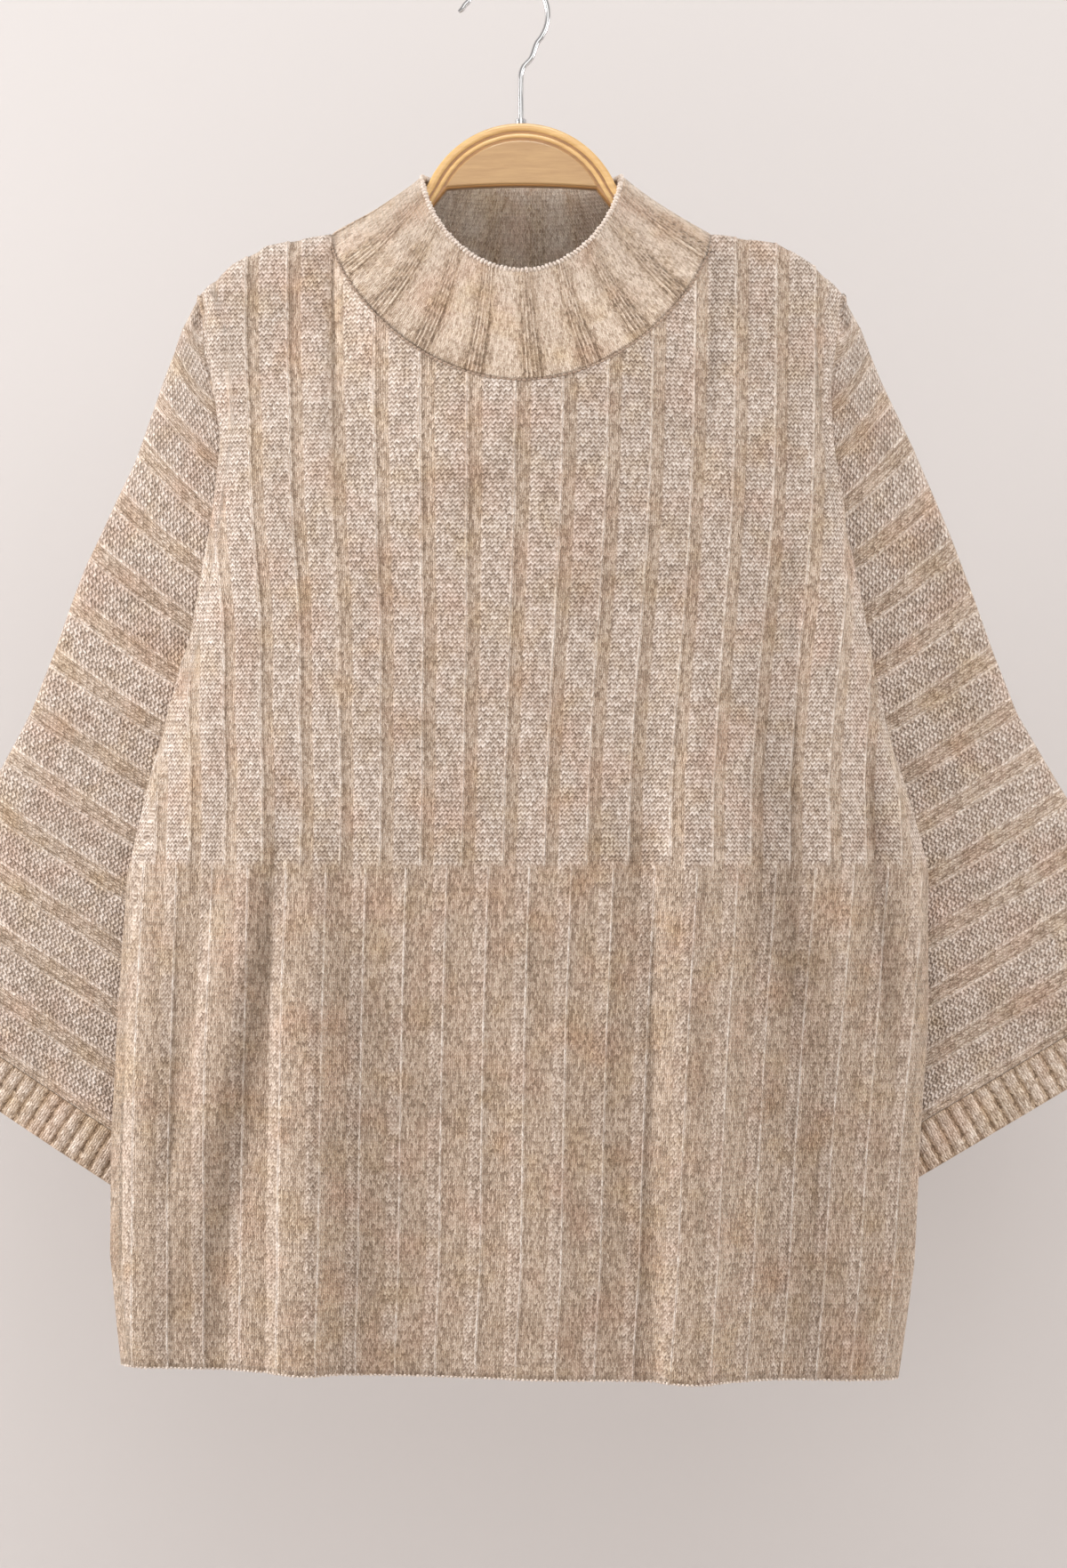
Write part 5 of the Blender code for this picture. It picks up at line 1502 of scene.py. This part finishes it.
# %% Wood
def wood_material(name, pale, deep, scale=1.0):
    """Lacquered wood between two colours; a larger scale gives a shorter grain."""
    material, t, shader = new_material(name, {"Coat Weight": 0.55, "Coat Roughness": 0.12})
    stretch = add_node(t, "ShaderNodeMapping", {"Scale": (7.0 * scale, 60.0, 95.0)})
    t.links.new(object_place(t), stretch.inputs["Vector"])
    grain = add_node(t, "ShaderNodeTexNoise", {"Scale": 4.0, "Detail": 6.0, "Roughness": 0.65,
                                               "Distortion": 0.4})
    t.links.new(stretch.outputs[0], grain.inputs["Vector"])
    ramp = add_node(t, "ShaderNodeValToRGB")
    ramp.color_ramp.elements[0].position, ramp.color_ramp.elements[0].color = 0.3, srgb(*deep)
    ramp.color_ramp.elements[1].position, ramp.color_ramp.elements[1].color = 0.72, srgb(*pale)
    t.links.new(grain.outputs["Fac"], ramp.inputs[0])
    t.links.new(ramp.outputs[0], shader.inputs["Base Color"])
    gloss = map_range(t, grain.outputs["Fac"], to_min=0.32, to_max=0.5)
    t.links.new(gloss, shader.inputs["Roughness"])
    add_bump(t, shader, grain.outputs["Fac"], 0.15, 0.0004)
    return material


light_wood = wood_material("lacquered_wood", (216, 178, 120), (194, 152, 94))
deep_wood = wood_material("groove_wood", (170, 122, 66), (140, 96, 48))
plate_wood = wood_material("plate_wood", (180, 144, 96), (160, 122, 78), 1.4)
give(deep_wood, board)
give(light_wood, outer_rim, inner_rim)
give(plate_wood, plate)

# %% Plated wire
chrome, tree, shader = new_material("plated_wire", {"Metallic": 1.0})
haze = add_noise(tree, object_place(tree), 140.0, 4.0)
tree.links.new(map_range(tree, haze, to_min=0.10, to_max=0.26), shader.inputs["Roughness"])
tree.links.new(mix_colour(tree, haze, srgb(196, 196, 198), srgb(222, 221, 220)),
               shader.inputs["Base Color"])
give(chrome, hook, ferrule)

# %% [markdown]
# ## Pieces and their solids
# Each piece rides on the root body and stands for its CAD node, which is hidden.

# %% Ride and replace
knit_pieces = (front, back, collar, neck_seam, collar_edge, *hems, *cuffs.values())
for piece in (*knit_pieces, *wood_pieces, hook, ferrule):
    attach(piece, "root")
for piece, node in ((front, "front"), (back, "back"), (collar, "collar"), (cuffs[-1], "cuff_left"),
                    (cuffs[1], "cuff_right"), (board, "hanger"), (hook, "hook")):
    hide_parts(node)

# %% [markdown]
# ## Wall, floor, light and camera
# The photograph has a pale, slightly warm wall and soft light from the left, with a weaker light
# from the right. The wall is one sided, so that a view from behind still shows the sweater's back.

# %% Stage
def stage_plane(name, corners, colour, one_sided):
    mesh = bpy.data.meshes.new(name)
    mesh.from_pydata(corners, [], [(0, 1, 2, 3)])
    plane = bpy.data.objects.new(name, mesh)
    bpy.context.scene.collection.objects.link(plane)
    material, t, shader = new_material(name, {"Base Color": colour, "Roughness": 0.95})
    if one_sided:
        clear = add_node(t, "ShaderNodeBsdfTransparent")
        side = add_node(t, "ShaderNodeNewGeometry")
        mix = add_node(t, "ShaderNodeMixShader")
        t.links.new(side.outputs["Backfacing"], mix.inputs[0])
        t.links.new(shader.outputs[0], mix.inputs[1])
        t.links.new(clear.outputs[0], mix.inputs[2])
        t.links.new(mix.outputs[0], t.nodes["Material Output"].inputs["Surface"])
    mesh.materials.append(material)
    return plane


WALL_Y, FLOOR_Z = 0.30, -1.25
stage_plane("wall", [(-4, WALL_Y, FLOOR_Z), (4, WALL_Y, FLOOR_Z), (4, WALL_Y, 3), (-4, WALL_Y, 3)],
            srgb(194, 189, 187), True)
stage_plane("floor", [(-4, -4, FLOOR_Z), (4, -4, FLOOR_Z), (4, WALL_Y, FLOOR_Z), (-4, WALL_Y, FLOOR_Z)],
            srgb(216, 210, 206), False)

# %% Lights and world
def area_light(name, place, target, size, power, colour=(1.0, 1.0, 1.0)):
    data = bpy.data.lights.new(name, "AREA")
    data.energy, data.size, data.color = power, size, colour
    light = bpy.data.objects.new(name, data)
    light.location = place
    direction = np.array(target) - np.array(place)
    light.rotation_mode = "QUATERNION"
    light.rotation_quaternion = Vector(direction).to_track_quat("-Z", "Y")
    bpy.context.scene.collection.objects.link(light)
    return light


area_light("key", (-2.3, -0.6, -0.2), (0.0, 0.0, -0.5), 0.8, 57.0, (1.0, 0.995, 0.99))
area_light("fill", (2.3, -0.7, -0.3), (0.0, 0.0, -0.5), 0.8, 28.0, (1.0, 0.99, 0.985))
area_light("front_soft", (0.3, -2.6, 0.8), (0.0, 0.0, -0.5), 2.0, 18.0)
area_light("top_soft", (0.0, -0.9, 1.1), (0.0, 0.0, -0.2), 0.8, 15.0)
world = bpy.data.worlds.new("pale_room")
bpy.context.scene.world = world
world.use_nodes = True
world.node_tree.nodes["Background"].inputs[0].default_value = srgb(246, 243, 240)
world.node_tree.nodes["Background"].inputs[1].default_value = 0.50
bpy.context.scene.view_settings.view_transform = "Standard"

# %% Camera
MM_PER_PIXEL = 0.54
PICTURE_HIGH, PICTURE_MIDDLE = 1763.0, (600.0, 881.5)
HOOK_PIXEL = (570.0, -26.0)   # where the picture has the origin, which is just above its edge
CAMERA_AWAY = 2.2
SENSOR = 24.0
camera_data = bpy.data.cameras.new("camera")
camera = bpy.data.objects.new("camera", camera_data)
bpy.context.scene.collection.objects.link(camera)
bpy.context.scene.camera = camera
camera.location = ((PICTURE_MIDDLE[0] - HOOK_PIXEL[0]) * MM_PER_PIXEL / PER_METRE, -CAMERA_AWAY,
                   -(PICTURE_MIDDLE[1] - HOOK_PIXEL[1]) * MM_PER_PIXEL / PER_METRE)
camera.rotation_euler = (math.radians(90.0), 0.0, 0.0)
camera_data.sensor_fit = "VERTICAL"
camera_data.sensor_height = SENSOR
camera_data.lens = SENSOR * CAMERA_AWAY / (PICTURE_HIGH * MM_PER_PIXEL / PER_METRE)
camera_data.clip_start = 0.05
print("lens", round(camera_data.lens, 1))

# %% Update the scene
bpy.context.view_layer.update()
